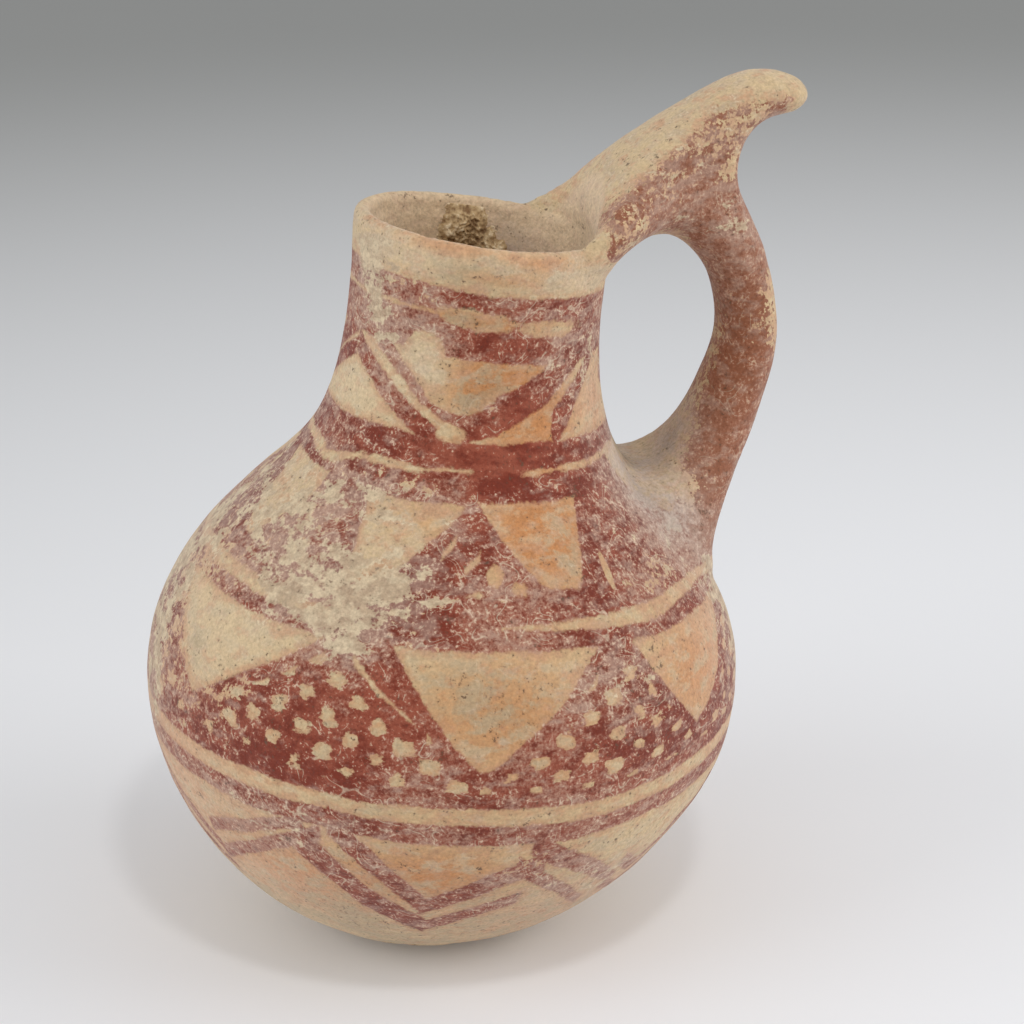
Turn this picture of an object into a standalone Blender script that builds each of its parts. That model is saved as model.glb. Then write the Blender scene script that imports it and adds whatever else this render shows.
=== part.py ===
"""Miniature jug of painted fired clay: one hollow pot with its handle and thumb spur.

The pot is a cage of rings round its own axis. The handle is a second run of rings that is joined
into two openings in that cage, one over the rim and one on the shoulder, and the spur grows from a
third opening at the handle's bend. A Subdivision Surface makes one smooth clay body of it. The pot
then leans towards its handle and stands on a small flat spot.

Lengths are in metres, +Z is up, and the handle lies along +X. The origin is the middle of the
flat spot that the jug stands on.
"""

import math

import bmesh
import bpy
import numpy as np

# Outside of the pot: heights up its own axis, and radii there
FOOT_HEIGHT = 0.0027
FOOT_RADIUS = 0.0132
LOWER_BELLY_HEIGHT = 0.0114
LOWER_BELLY_RADIUS = 0.0239
FLANK_HEIGHT = 0.0190
FLANK_RADIUS = 0.0287
BELLY_HEIGHT = 0.0284
BELLY_RADIUS = 0.0311
UPPER_BELLY_HEIGHT = 0.0372
UPPER_BELLY_RADIUS = 0.0293
SHOULDER_HEIGHT = 0.0476
SHOULDER_RADIUS = 0.0217
NECK_BASE_HEIGHT = 0.0546
NECK_BASE_RADIUS = 0.0154
NECK_HEIGHT = 0.0630
NECK_RADIUS = 0.0132
RIM_HEIGHT = 0.0764
RIM_RADIUS = 0.0129

# Walls
RIM_WALL = 0.0018
BELLY_WALL = 0.0026
FLOOR_WALL = 0.0040

# How the potter's hand and the standing pot depart from a true turned form
BELLY_SKEW = 0.0021
SKEW_TOP = 0.038
SKEW_POWER = 1.5
RIM_TILT = 4.0
LEAN = 5.17
REST_CUT = 0.0013

# Handle: the arch under its bend, where it leaves the rim, and its lower root on the shoulder
ARCH_OUT = 0.0058
ARCH_DROP = 0.0069
ARCH_RADIUS = 0.0061
ARM_THICKNESS = 0.0098
ARM_BASE_THICKNESS = 0.0087
ARM_BASE_WIDTH = 0.0215
ARM_BASE_LIFT = 0.0008
ARM_WIDTH = 0.0120
BEND_THICKNESS = 0.0079
BEND_WIDTH = 0.0092
BEND_DROP = 0.0005
LOOP_THICKNESS = 0.0067
LOOP_WIDTH = 0.0084
LOOP_MIDDLE_SHARE = 0.26
LOOP_MIDDLE_BULGE = 0.0020
LOOP_LOW_SHARE = 0.58
LOOP_LOW_BULGE = 0.0011
LOOP_LOW_THICKNESS = 0.0076
LOOP_FOOT_OUT = 0.0047
LOOP_FOOT_RISE = 0.0059
LOOP_FOOT_THICKNESS = 0.0080
LOOP_FOOT_WIDTH = 0.0098
ROOT_BELOW_SHOULDER = 0.0046
ROOT_ABOVE_SHOULDER = 0.0027
RIM_BAND = 0.0026

# Angles, up from +X, of the side that faces away from the finger gap, ring by ring
ARM_BASE_FACING = 129.0
ARM_FACING = 102.0
BEND_FACING = 79.0
BEND_END_FACING = 58.0
LOOP_TOP_FACING = 34.0
LOOP_SIDE_FACING = 10.0
LOOP_MIDDLE_FACING = -4.0
LOOP_LOW_FACING = -15.0
LOOP_FOOT_FACING = -18.0

# Thumb spur, from the middle of the arch
SPUR_BASE_OUT = 0.0044
SPUR_BASE_RISE = 0.0178
SPUR_BASE_THICKNESS = 0.0070
SPUR_BASE_WIDTH = 0.0088
SPUR_REACH = 0.0101
SPUR_RISE = 0.0038
SPUR_TIP_THICKNESS = 0.0046
SPUR_TIP_WIDTH = 0.0066
SPUR_MIDDLE_SHARE = 0.42
SPUR_TIP_DROP = 0.0014
SPUR_BASE_FACING = 128.0
SPUR_MIDDLE_FACING = 105.0
SPUR_TIP_FACING = 62.0

# How finely the cage is divided
COLUMNS = 24
HANDLE_COLUMNS = 20
BELLY_ROWS = 9
ROOT_ROWS = 7
NECK_ROWS = 5
INNER_ROWS = 10
CAP_HEIGHT_SHARE = 0.12
WIDE_OPENING = 7
NARROW_OPENING = 3
SUBDIVISIONS = 1
OUTLINE_STEPS = 24

# Slab that the flat spot is cut with
SLAB_SIDE = 0.120
SLAB_HEIGHT = 0.020

CLAY_COLOUR = (0.50, 0.27, 0.17, 1.0)
CLAY_ROUGHNESS = 0.8


def clear_scene():
    """Remove the objects that a new file opens with."""
    for old in list(bpy.data.objects):
        bpy.data.objects.remove(old, do_unlink=True)


def smooth_step(value):
    """Go from 0 to 1 with level ends as value goes from 0 to 1."""
    held = np.clip(value, 0.0, 1.0)
    return held * held * (3.0 - 2.0 * held)


def cage_swell(count):
    """Return how much wider a ring of so many points is than the smooth ring it makes."""
    return 3.0 / (2.0 + math.cos(math.tau / count))


def outside_outline():
    """Return heights and radii of the pot's outside, on one smooth curve through its stations.

    Each stretch is a cubic whose slope at a station is that of the chord between its neighbours,
    and the underside starts level on the axis.
    """
    stations = np.array([
        (0.0, 0.0),
        (FOOT_HEIGHT, FOOT_RADIUS),
        (LOWER_BELLY_HEIGHT, LOWER_BELLY_RADIUS),
        (FLANK_HEIGHT, FLANK_RADIUS),
        (BELLY_HEIGHT, BELLY_RADIUS),
        (UPPER_BELLY_HEIGHT, UPPER_BELLY_RADIUS),
        (SHOULDER_HEIGHT, SHOULDER_RADIUS),
        (NECK_BASE_HEIGHT, NECK_BASE_RADIUS),
        (NECK_HEIGHT, NECK_RADIUS),
        (RIM_HEIGHT, RIM_RADIUS),
    ])
    chords = np.linalg.norm(np.diff(stations, axis=0), axis=1)
    knots = np.concatenate(([0.0], np.cumsum(chords)))
    slopes = np.gradient(stations, knots, axis=0)
    slopes[0] = (0.0, 1.0)
    share = np.arange(OUTLINE_STEPS) / OUTLINE_STEPS
    pieces = []
    for index, chord in enumerate(chords):
        start, end = stations[index], stations[index + 1]
        leave, arrive = slopes[index] * chord, slopes[index + 1] * chord
        pieces.append(
            np.outer(2 * share**3 - 3 * share**2 + 1, start)
            + np.outer(share**3 - 2 * share**2 + share, leave)
            + np.outer(3 * share**2 - 2 * share**3, end)
            + np.outer(share**3 - share**2, arrive)
        )
    return np.vstack(pieces + [stations[-1:]])


def inside_outline(outside):
    """Return the outline of the hollow: the outside moved in by the wall, which varies up the pot."""
    along = np.gradient(outside, axis=0)
    along /= np.linalg.norm(along, axis=1)[:, None]
    inward = np.column_stack((along[:, 1], -along[:, 0]))
    heights = outside[:, 0]
    wall = np.interp(
        heights,
        (0.0, LOWER_BELLY_HEIGHT, BELLY_HEIGHT, NECK_BASE_HEIGHT, RIM_HEIGHT),
        (FLOOR_WALL, BELLY_WALL, BELLY_WALL, BELLY_WALL, RIM_WALL),
    )
    inside = outside + inward * wall[:, None]
    inside[:, 1] = np.maximum(inside[:, 1], 0.0)
    return inside


def arc_lengths(outline):
    """Return the length along an outline at each of its points."""
    steps = np.linalg.norm(np.diff(outline, axis=0), axis=1)
    return np.concatenate(([0.0], np.cumsum(steps)))


def points_between(outline, low, high, count):
    """Return count + 1 points evenly spaced along an outline between two lengths."""
    lengths = arc_lengths(outline)
    wanted = np.linspace(low, high, count + 1)
    return np.column_stack([np.interp(wanted, lengths, outline[:, axis]) for axis in (0, 1)])


def length_at_height(outline, height):
    """Return the length along an outline where it reaches a height."""
    return float(np.interp(height, outline[:, 0], arc_lengths(outline)))


def push_out(rows):
    """Return rows moved so that the smoothed surface passes through where they were.

    Smoothing draws a row in by a sixth of the bend between its neighbours.
    """
    bend = rows[:-2] - 2.0 * rows[1:-1] + rows[2:]
    pushed = rows.copy()
    pushed[1:-1] -= bend / 6.0
    return pushed


def pot_rows():
    """Return heights and radii of the cage's rings, up the outside, over the lip and down the inside.

    Also return the rows that the handle's two openings start and end at.
    """
    outside = outside_outline()
    inside = inside_outline(outside)
    cap = length_at_height(outside, FOOT_HEIGHT * CAP_HEIGHT_SHARE)
    root_low = length_at_height(outside, SHOULDER_HEIGHT - ROOT_BELOW_SHOULDER)
    root_high = length_at_height(outside, SHOULDER_HEIGHT + ROOT_ABOVE_SHOULDER)
    band = arc_lengths(outside)[-1] - RIM_BAND
    belly = points_between(outside, cap, root_low, BELLY_ROWS)
    root = points_between(outside, root_low, root_high, ROOT_ROWS)
    neck = points_between(outside, root_high, band, NECK_ROWS)
    lip = np.array([(RIM_HEIGHT, RIM_RADIUS), (RIM_HEIGHT, RIM_RADIUS - RIM_WALL)])
    inner_band = arc_lengths(inside)[-1] - RIM_BAND
    inner_cap = length_at_height(inside, FOOT_HEIGHT * CAP_HEIGHT_SHARE + FLOOR_WALL)
    inner = points_between(inside, inner_cap, inner_band, INNER_ROWS)[::-1]
    rows = push_out(np.vstack((belly, root[1:], neck[1:], lip, inner)))
    outer_band_row = BELLY_ROWS + ROOT_ROWS + NECK_ROWS
    openings = {
        "root": (BELLY_ROWS, BELLY_ROWS + ROOT_ROWS),
        "rim": (outer_band_row + 3, outer_band_row),
    }
    return rows, openings


def pot_ring(height, radius):
    """Return one ring of the pot's cage, with the belly's skew and the rim's tilt."""
    angles = (np.arange(COLUMNS) + 0.5) * math.tau / COLUMNS
    swollen = radius * cage_swell(COLUMNS)
    skew = -BELLY_SKEW * max(0.0, 1.0 - height / SKEW_TOP) ** SKEW_POWER
    rise = smooth_step((height - SHOULDER_HEIGHT) / (RIM_HEIGHT - SHOULDER_HEIGHT))
    tilt = math.radians(RIM_TILT) * float(rise)
    across = swollen * np.cos(angles)
    return np.column_stack((
        skew + across * math.cos(tilt),
        swollen * np.sin(angles),
        height - across * math.sin(tilt),
    ))


def handle_ring(centre_x, centre_height, outward, thickness, width):
    """Return one ring of the handle or spur.

    outward is the angle, up from +X, of the side that faces away from the finger gap, and
    thickness is measured along it. width is measured across the handle.
    """
    angles = (np.arange(HANDLE_COLUMNS) + 0.5) * math.tau / HANDLE_COLUMNS
    swell = cage_swell(HANDLE_COLUMNS) / 2.0
    out = thickness * swell * np.cos(angles)
    turn = math.radians(outward)
    return np.column_stack((
        centre_x + out * math.cos(turn),
        width * swell * np.sin(angles),
        centre_height + out * math.sin(turn),
    ))


def arch_middle():
    """Return X and height of the middle of the arch over the finger gap."""
    return RIM_RADIUS + ARCH_OUT, RIM_HEIGHT - ARCH_DROP


def arch_ring(outward, thickness, width, lift=0.0):
    """Return a handle ring that stands on the arch over the finger gap, or off it by a lift."""
    middle_x, middle_height = arch_middle()
    reach = ARCH_RADIUS + lift + thickness / 2.0
    turn = math.radians(outward)
    return handle_ring(
        middle_x + reach * math.cos(turn), middle_height + reach * math.sin(turn),
        outward, thickness, width,
    )


def loop_ring(share, bulge, outward, thickness, width):
    """Return a handle ring on the loop's way down from the arch's side to its foot.

    share is how far down it stands, and bulge is how far outside the straight line.
    """
    arch_x, top_height = arch_middle()
    top_x = arch_x + ARCH_RADIUS + LOOP_THICKNESS / 2.0
    foot_x = SHOULDER_RADIUS + LOOP_FOOT_OUT
    foot_height = SHOULDER_HEIGHT + LOOP_FOOT_RISE
    return handle_ring(
        top_x + share * (foot_x - top_x) + bulge, top_height + share * (foot_height - top_height),
        outward, thickness, width,
    )


def handle_rings():
    """Return the handle's rings from the rim, round the bend and down the loop to the shoulder."""
    arm_end_thickness = (ARM_THICKNESS + BEND_THICKNESS) / 2.0
    return [
        arch_ring(ARM_BASE_FACING, ARM_BASE_THICKNESS, ARM_BASE_WIDTH, ARM_BASE_LIFT),
        arch_ring(ARM_FACING, ARM_THICKNESS, ARM_WIDTH),
        arch_ring(BEND_FACING, arm_end_thickness, BEND_WIDTH),
        arch_ring(BEND_END_FACING, BEND_THICKNESS, BEND_WIDTH, -BEND_DROP),
        arch_ring(LOOP_TOP_FACING, LOOP_THICKNESS + BEND_DROP, LOOP_WIDTH, -BEND_DROP),
        arch_ring(LOOP_SIDE_FACING, LOOP_THICKNESS, LOOP_WIDTH),
        loop_ring(LOOP_MIDDLE_SHARE, LOOP_MIDDLE_BULGE, LOOP_MIDDLE_FACING, LOOP_THICKNESS, LOOP_WIDTH),
        loop_ring(LOOP_LOW_SHARE, LOOP_LOW_BULGE, LOOP_LOW_FACING, LOOP_LOW_THICKNESS, LOOP_WIDTH),
        loop_ring(1.0, 0.0, LOOP_FOOT_FACING, LOOP_FOOT_THICKNESS, LOOP_FOOT_WIDTH),
    ]


def spur_rings():
    """Return the spur's rings: it carries on the arm's line, then bends level and thins to its tip."""
    middle_x, middle_height = arch_middle()
    base_x = middle_x + SPUR_BASE_OUT
    base_height = middle_height + SPUR_BASE_RISE
    middle_thickness = (SPUR_BASE_THICKNESS + SPUR_TIP_THICKNESS) / 2.0
    middle_width = (SPUR_BASE_WIDTH + SPUR_TIP_WIDTH) / 2.0
    return [
        handle_ring(base_x, base_height, SPUR_BASE_FACING, SPUR_BASE_THICKNESS, SPUR_BASE_WIDTH),
        handle_ring(
            base_x + SPUR_REACH * SPUR_MIDDLE_SHARE, base_height + SPUR_RISE,
            SPUR_MIDDLE_FACING, middle_thickness, middle_width,
        ),
        handle_ring(
            base_x + SPUR_REACH, base_height + SPUR_RISE - SPUR_TIP_DROP,
            SPUR_TIP_FACING, SPUR_TIP_THICKNESS, SPUR_TIP_WIDTH,
        ),
    ]


def add_ring(cage, points):
    """Add a ring's points to the cage and return its vertices."""
    return [cage.verts.new(point) for point in points]


def join_rings(cage, first, second):
    """Join two rings of equal count with a band of four-sided faces, and return the faces."""
    count = len(first)
    return [
        cage.faces.new((first[i], first[(i + 1) % count], second[(i + 1) % count], second[i]))
        for i in range(count)
    ]


def join_all(cage, rings):
    """Join each ring to the next, and return the bands of faces between them."""
    return [join_rings(cage, low, high) for low, high in zip(rings, rings[1:])]


def cut_opening(cage, rings, bands, start, end, columns):
    """Open a patch of faces in a run of rings, centred on column 0, and return its edge as a ring.

    The edge starts at row start beside the centre, goes round by the +Y side and by row end.
    """
    right = columns // 2
    left = right - columns
    step = 1 if end > start else -1
    rows = list(range(start, end + step, step))
    doomed = [bands[row][column] for row in range(min(rows), max(rows)) for column in range(left, right)]
    edge = [rings[start][column] for column in range(0, right + 1)]
    edge += [rings[row][right] for row in rows[1:]]
    edge += [rings[end][column] for column in range(right - 1, left - 1, -1)]
    edge += [rings[row][left] for row in reversed(rows[:-1])]
    edge += [rings[start][column] for column in range(left + 1, 0)]
    bmesh.ops.delete(cage, geom=doomed, context="FACES")
    return edge


def build_cage():
    """Return the whole jug's cage as one closed bmesh."""
    cage = bmesh.new()
    rows, openings = pot_rows()
    pot = [add_ring(cage, pot_ring(height, radius)) for height, radius in rows]
    pot_bands = join_all(cage, pot)
    cage.faces.new(reversed(pot[0]))
    cage.faces.new(pot[-1])
    handle = [add_ring(cage, ring) for ring in handle_rings()]
    handle_bands = join_all(cage, handle)
    spur = [add_ring(cage, ring) for ring in spur_rings()]
    join_all(cage, spur)
    cage.faces.new(spur[-1])

    rim_edge = cut_opening(cage, pot, pot_bands, *openings["rim"], WIDE_OPENING)
    root_edge = cut_opening(cage, pot, pot_bands, *openings["root"], NARROW_OPENING)
    join_rings(cage, rim_edge, handle[0])
    join_rings(cage, handle[-1], root_edge)
    spur_edge = cut_opening(cage, handle, handle_bands, 0, NARROW_OPENING, WIDE_OPENING)
    join_rings(cage, spur_edge, spur[0])
    bmesh.ops.recalc_face_normals(cage, faces=cage.faces)
    return cage


def clay_material():
    """Return the fired clay."""
    material = bpy.data.materials.new("fired_clay")
    material.use_nodes = True
    shader = material.node_tree.nodes["Principled BSDF"]
    shader.inputs["Base Color"].default_value = CLAY_COLOUR
    shader.inputs["Roughness"].default_value = CLAY_ROUGHNESS
    shader.inputs["Metallic"].default_value = 0.0
    return material


def add_object(name, cage):
    """Turn a bmesh into a linked object."""
    mesh = bpy.data.meshes.new(name)
    cage.to_mesh(mesh)
    cage.free()
    item = bpy.data.objects.new(name, mesh)
    bpy.context.scene.collection.objects.link(item)
    return item


def stand_on_flat_spot(jug):
    """Lean the jug about the bottom of its axis, and put the middle of its flat spot at the origin.

    The underside is nearly a sphere there, so the lowest point moves along it with the lean.
    """
    lean = math.radians(LEAN)
    underside_curve = FOOT_RADIUS**2 / (2.0 * FOOT_HEIGHT)
    lowest_x = underside_curve * math.sin(lean) - BELLY_SKEW * math.cos(lean)
    lowest_z = BELLY_SKEW * math.sin(lean) - underside_curve * (1.0 - math.cos(lean))
    jug.rotation_euler = (0.0, lean, 0.0)
    jug.location = (-lowest_x, 0.0, -lowest_z - REST_CUT)


def add_flat_spot(jug):
    """Cut the underside level with a slab whose top is the plane that the jug stands on."""
    slab = bmesh.new()
    bmesh.ops.create_cube(slab, size=1.0)
    bmesh.ops.scale(slab, vec=(SLAB_SIDE, SLAB_SIDE, SLAB_HEIGHT), verts=slab.verts)
    bmesh.ops.translate(slab, vec=(0.0, 0.0, -SLAB_HEIGHT / 2.0), verts=slab.verts)
    cutter = add_object("standing_plane", slab)
    cutter.hide_render = True
    cutter.display_type = "WIRE"
    cut = jug.modifiers.new("flat_spot", "BOOLEAN")
    cut.operation = "DIFFERENCE"
    cut.solver = "EXACT"
    cut.object = cutter


def build_jug():
    """Build the jug."""
    jug = add_object("jug", build_cage())
    jug.data.materials.append(clay_material())
    jug.data.shade_smooth()
    smooth = jug.modifiers.new("smooth_clay", "SUBSURF")
    smooth.levels = SUBDIVISIONS
    smooth.render_levels = SUBDIVISIONS
    stand_on_flat_spot(jug)
    add_flat_spot(jug)


clear_scene()
build_jug()
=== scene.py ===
"""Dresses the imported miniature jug: worn red painting on slipped clay, and soil in its mouth.

The jug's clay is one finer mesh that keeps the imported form. Its painting is worked out in the
material from girth angle and height on the pot, which each point of the mesh carries. The jug
stands on a pale sweep in soft light.
"""

import itertools
import logging
import math
from dataclasses import dataclass, replace
from enum import Enum
from functools import partial, reduce

import bmesh
import bpy
import numpy as np
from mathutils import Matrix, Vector


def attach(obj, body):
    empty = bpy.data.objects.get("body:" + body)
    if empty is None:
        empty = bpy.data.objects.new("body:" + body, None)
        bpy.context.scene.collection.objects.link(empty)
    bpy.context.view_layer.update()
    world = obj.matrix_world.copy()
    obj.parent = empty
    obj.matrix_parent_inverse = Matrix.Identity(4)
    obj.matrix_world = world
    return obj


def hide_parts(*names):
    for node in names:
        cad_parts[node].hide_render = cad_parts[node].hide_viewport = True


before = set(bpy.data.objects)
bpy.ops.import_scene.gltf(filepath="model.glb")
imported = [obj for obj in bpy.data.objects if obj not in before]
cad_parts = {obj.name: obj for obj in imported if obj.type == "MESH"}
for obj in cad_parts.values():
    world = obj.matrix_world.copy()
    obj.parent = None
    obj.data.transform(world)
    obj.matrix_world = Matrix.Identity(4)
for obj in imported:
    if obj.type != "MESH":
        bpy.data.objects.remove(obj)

LOG = logging.getLogger("jug")
MM = 0.001
CORNER_PRIMES = np.array([73856093, 19349663, 83492791])
SEED_PRIME = 7919
SCRAMBLE = 1274126177
HALF_RANGE = 32767.5

Socket = bpy.types.NodeSocket
Value = Socket | float
Colour = tuple[float, float, float]
Place = tuple[float, float, float]
Pair = tuple[float, float]


def screen_colour(red: int, green: int, blue: int) -> Colour:
    """Turn a screen colour of 0 to 255 a channel into the linear colour that a shader takes.

    Args:
        red: Red from 0 to 255.
        green: Green from 0 to 255.
        blue: Blue from 0 to 255.

    Returns:
        The linear colour.
    """
    shares = (channel / 255.0 for channel in (red, green, blue))
    return tuple(c / 12.92 if c <= 0.04045 else ((c + 0.055) / 1.055) ** 2.4 for c in shares)


def smooth_step(value: np.ndarray, low: float, high: float) -> np.ndarray:
    """Go from 0 at low to 1 at high with level ends.

    Args:
        value: Values to place between the two.
        low: Where the result is 0.
        high: Where the result is 1.

    Returns:
        Shares from 0 to 1.
    """
    held = np.clip((value - low) / (high - low), 0.0, 1.0)
    return held * held * (3.0 - 2.0 * held)


def lattice_noise(points: np.ndarray, grain: float, seed: int) -> np.ndarray:
    """Return smooth noise: cubes one grain wide with scrambled corner values, blended smoothly.

    Args:
        points: Places, one a row.
        grain: Width of a cube, in the points' unit.
        seed: Chooses one noise among many.

    Returns:
        Values from -1 to 1.
    """
    cell = points / grain
    low = np.floor(cell).astype(np.int64)
    share = cell - low
    share = share * share * (3.0 - 2.0 * share)
    total = np.zeros(len(points))
    for corner in itertools.product((0, 1), repeat=3):
        key = (low + np.array(corner)) @ CORNER_PRIMES + seed * SEED_PRIME
        key = (key ^ (key >> 13)) * SCRAMBLE
        key = (key ^ (key >> 16)) & 0xFFFF
        weight = np.prod(np.where(np.array(corner) == 1, share, 1.0 - share), axis=1)
        total += weight * (key / HALF_RANGE - 1.0)
    return total


def placed(name: str, data: bpy.types.ID) -> bpy.types.Object:
    """Make an object and put it in the scene.

    Args:
        name: The object's name.
        data: Its mesh, light or camera.

    Returns:
        The object.
    """
    item = bpy.data.objects.new(name, data)
    bpy.context.scene.collection.objects.link(item)
    return item


def aimed(item: bpy.types.Object, place: Place, target: Place) -> None:
    """Put a light or a camera at a place and turn it to a target.

    Args:
        item: The light's or the camera's object.
        place: Where it goes, in metres.
        target: What it looks at, in metres.
    """
    item.location = place
    way = Vector(target) - Vector(place)
    item.rotation_euler = way.to_track_quat("-Z", "Y").to_euler()


class Carried(Enum):
    """Vectors that each point of a mesh carries for its material."""

    PLACE = "place"
    GRIP = "grip"
    STATE = "state"
    TINT = "tint"
    TONE = "tone"
    CRUMB = "crumb"

    def write(self, mesh: bpy.types.Mesh, parts: tuple[np.ndarray, ...]) -> None:
        """Write the vector's three parts onto a mesh, one value a point."""
        layer = mesh.attributes.new(self.value, "FLOAT_VECTOR", "POINT")
        layer.data.foreach_set("vector", np.column_stack(parts).astype(np.float32).ravel())


class Graph:
    """Short calls for the nodes of one material."""

    def __init__(self, name: str) -> None:
        """Open a new material with its two closing nodes.

        Args:
            name: The material's name.
        """
        self.material = bpy.data.materials.new(name)
        self.material.use_nodes = True
        self.tree = self.material.node_tree
        self.shader = self.tree.nodes["Principled BSDF"]

    def node(self, kind: str, **settings: object) -> bpy.types.Node:
        """Add a node and set its options.

        Args:
            kind: The node's type name.
            **settings: Options to set on it.

        Returns:
            The node.
        """
        made = self.tree.nodes.new(kind)
        for key, value in settings.items():
            setattr(made, key, value)
        return made

    def feed(self, socket: Socket, value: object) -> None:
        """Link a socket to another, or set its value.

        Args:
            socket: The input to feed.
            value: A socket, a number, or a colour or vector.
        """
        if isinstance(value, bpy.types.NodeSocket):
            self.tree.links.new(value, socket)
        elif isinstance(value, tuple) and len(value) == 3 and len(socket.default_value) == 4:
            socket.default_value = (*value, 1.0)
        else:
            socket.default_value = value

    def math(self, operation: str, first: Value, second: Value = 0.0,
             third: Value = 0.0) -> Socket:
        """Work out one sum.

        Args:
            operation: The sum's name.
            first: First value.
            second: Second value.
            third: Third value.

        Returns:
            The result.
        """
        made = self.node("ShaderNodeMath", operation=operation)
        for socket, value in zip(made.inputs, (first, second, third)):
            self.feed(socket, value)
        return made.outputs[0]

    def plus(self, first: Value, second: Value) -> Socket:
        """Return the sum of two values."""
        return self.math("ADD", first, second)

    def minus(self, first: Value, second: Value) -> Socket:
        """Return the first value less the second."""
        return self.math("SUBTRACT", first, second)

    def times(self, first: Value, second: Value) -> Socket:
        """Return the product of two values."""
        return self.math("MULTIPLY", first, second)

    def line(self, value: Value, slope: Value, offset: Value) -> Socket:
        """Return a value times a slope plus an offset."""
        return self.math("MULTIPLY_ADD", value, slope, offset)

    def size(self, value: Value) -> Socket:
        """Return a value without its sign."""
        return self.math("ABSOLUTE", value)

    def rounded(self, first: Value, second: Value, reach: float) -> Socket:
        """Return the smaller of two depths, with the corner between them rounded over a reach."""
        return self.math("SMOOTH_MIN", first, second, reach)

    def most(self, *values: Value) -> Socket:
        """Return the largest of several values."""
        return reduce(partial(self.math, "MAXIMUM"), values)

    def least(self, *values: Value) -> Socket:
        """Return the smallest of several values."""
        return reduce(partial(self.math, "MINIMUM"), values)

    def between(self, share: Value, first: float, second: float) -> Socket:
        """Return the first number where the share is 0, and the second where it is 1."""
        return self.line(share, second - first, first)

    def cut(self, depth: Value, bare: Value) -> Socket:
        """Return the depth inside a shape that a bare shape is taken out of."""
        return self.least(depth, self.times(bare, -1.0))

    def vector(self, operation: str, first: object, second: object, result: int = 0) -> Socket:
        """Work out one vector sum.

        Args:
            operation: The sum's name.
            first: First vector.
            second: Second vector, or the factor of a scaling.
            result: Which output to read: 0 for a vector, 1 for a number.

        Returns:
            The result.
        """
        made = self.node("ShaderNodeVectorMath", operation=operation)
        self.feed(made.inputs[0], first)
        self.feed(made.inputs["Scale" if operation == "SCALE" else 1], second)
        return made.outputs[result]

    def dot(self, first: object, second: object) -> Socket:
        """Return the dot product of two vectors."""
        return self.vector("DOT_PRODUCT", first, second, 1)

    def joined(self, first: Value, second: Value, third: Value) -> Socket:
        """Join three values.

        Args:
            first: The vector's first part.
            second: Its second part.
            third: Its third part.

        Returns:
            The vector.
        """
        made = self.node("ShaderNodeCombineXYZ")
        for socket, value in zip(made.inputs, (first, second, third)):
            self.feed(socket, value)
        return made.outputs[0]

    def step(self, value: Value, low: Value, high: Value) -> Socket:
        """Go from 0 at low to 1 at high with level ends.

        Args:
            value: Value to place.
            low: Where the result is 0.
            high: Where the result is 1.

        Returns:
            A share from 0 to 1.
        """
        made = self.node("ShaderNodeMapRange", interpolation_type="SMOOTHSTEP")
        for name, given in (("Value", value), ("From Min", low), ("From Max", high)):
            self.feed(made.inputs[name], given)
        return made.outputs[0]

    def mix(self, share: Value, first: object, second: object) -> Socket:
        """Blend two colours.

        Args:
            share: 0 for the first, 1 for the second.
            first: First colour.
            second: Second colour.

        Returns:
            The blend.
        """
        made = self.node("ShaderNodeMix", data_type="RGBA")
        self.feed(made.inputs[0], share)
        self.feed(made.inputs[6], first)
        self.feed(made.inputs[7], second)
        return made.outputs[2]

    def blend(self, share: Value, first: Value, second: Value) -> Socket:
        """Blend two values.

        Args:
            share: 0 for the first, 1 for the second.
            first: First value.
            second: Second value.

        Returns:
            The blend.
        """
        made = self.node("ShaderNodeMix", data_type="FLOAT")
        self.feed(made.inputs[0], share)
        self.feed(made.inputs[2], first)
        self.feed(made.inputs[3], second)
        return made.outputs[0]

    def own_place(self) -> Socket:
        """Return each point's place on its own object, in metres."""
        return self.node("ShaderNodeTexCoord").outputs["Object"]

    def own_mm(self) -> Socket:
        """Return each point's place on its own object, in millimetres."""
        return self.vector("SCALE", self.own_place(), 1.0 / MM)

    def noise(self, place: Socket, grain: float, detail: float, rough: float) -> Socket:
        """Return noise about 0.5 whose coarsest lumps are about a grain wide.

        Args:
            place: Where to read it, in millimetres.
            grain: Width of its lumps, in millimetres.
            detail: How many finer layers it has.
            rough: How strong the finer layers are.

        Returns:
            The noise.
        """
        made = self.node("ShaderNodeTexNoise", noise_dimensions="3D", normalize=True)
        self.feed(made.inputs["Vector"], place)
        for name, given in (("Scale", 1.0 / grain), ("Detail", detail), ("Roughness", rough)):
            self.feed(made.inputs[name], given)
        return made.outputs[0]

    def carried(self, name: Carried) -> tuple[Socket, ...]:
        """Read a vector that the mesh carries.

        Args:
            name: Which vector.

        Returns:
            Its three parts.
        """
        made = self.node("ShaderNodeAttribute", attribute_name=name.value)
        parts = self.node("ShaderNodeSeparateXYZ")
        self.feed(parts.inputs[0], made.outputs["Vector"])
        return tuple(parts.outputs)

    def surface(self, colour: object, roughness: float, gloss: float) -> None:
        """Set the shader's main inputs.

        Args:
            colour: The surface's colour.
            roughness: How matt it is, from 0 to 1.
            gloss: How strongly it mirrors, from 0 to 1.
        """
        named = (("Base Color", colour), ("Roughness", roughness), ("Specular IOR Level", gloss))
        for name, value in named:
            self.feed(self.shader.inputs[name], value)

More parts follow.
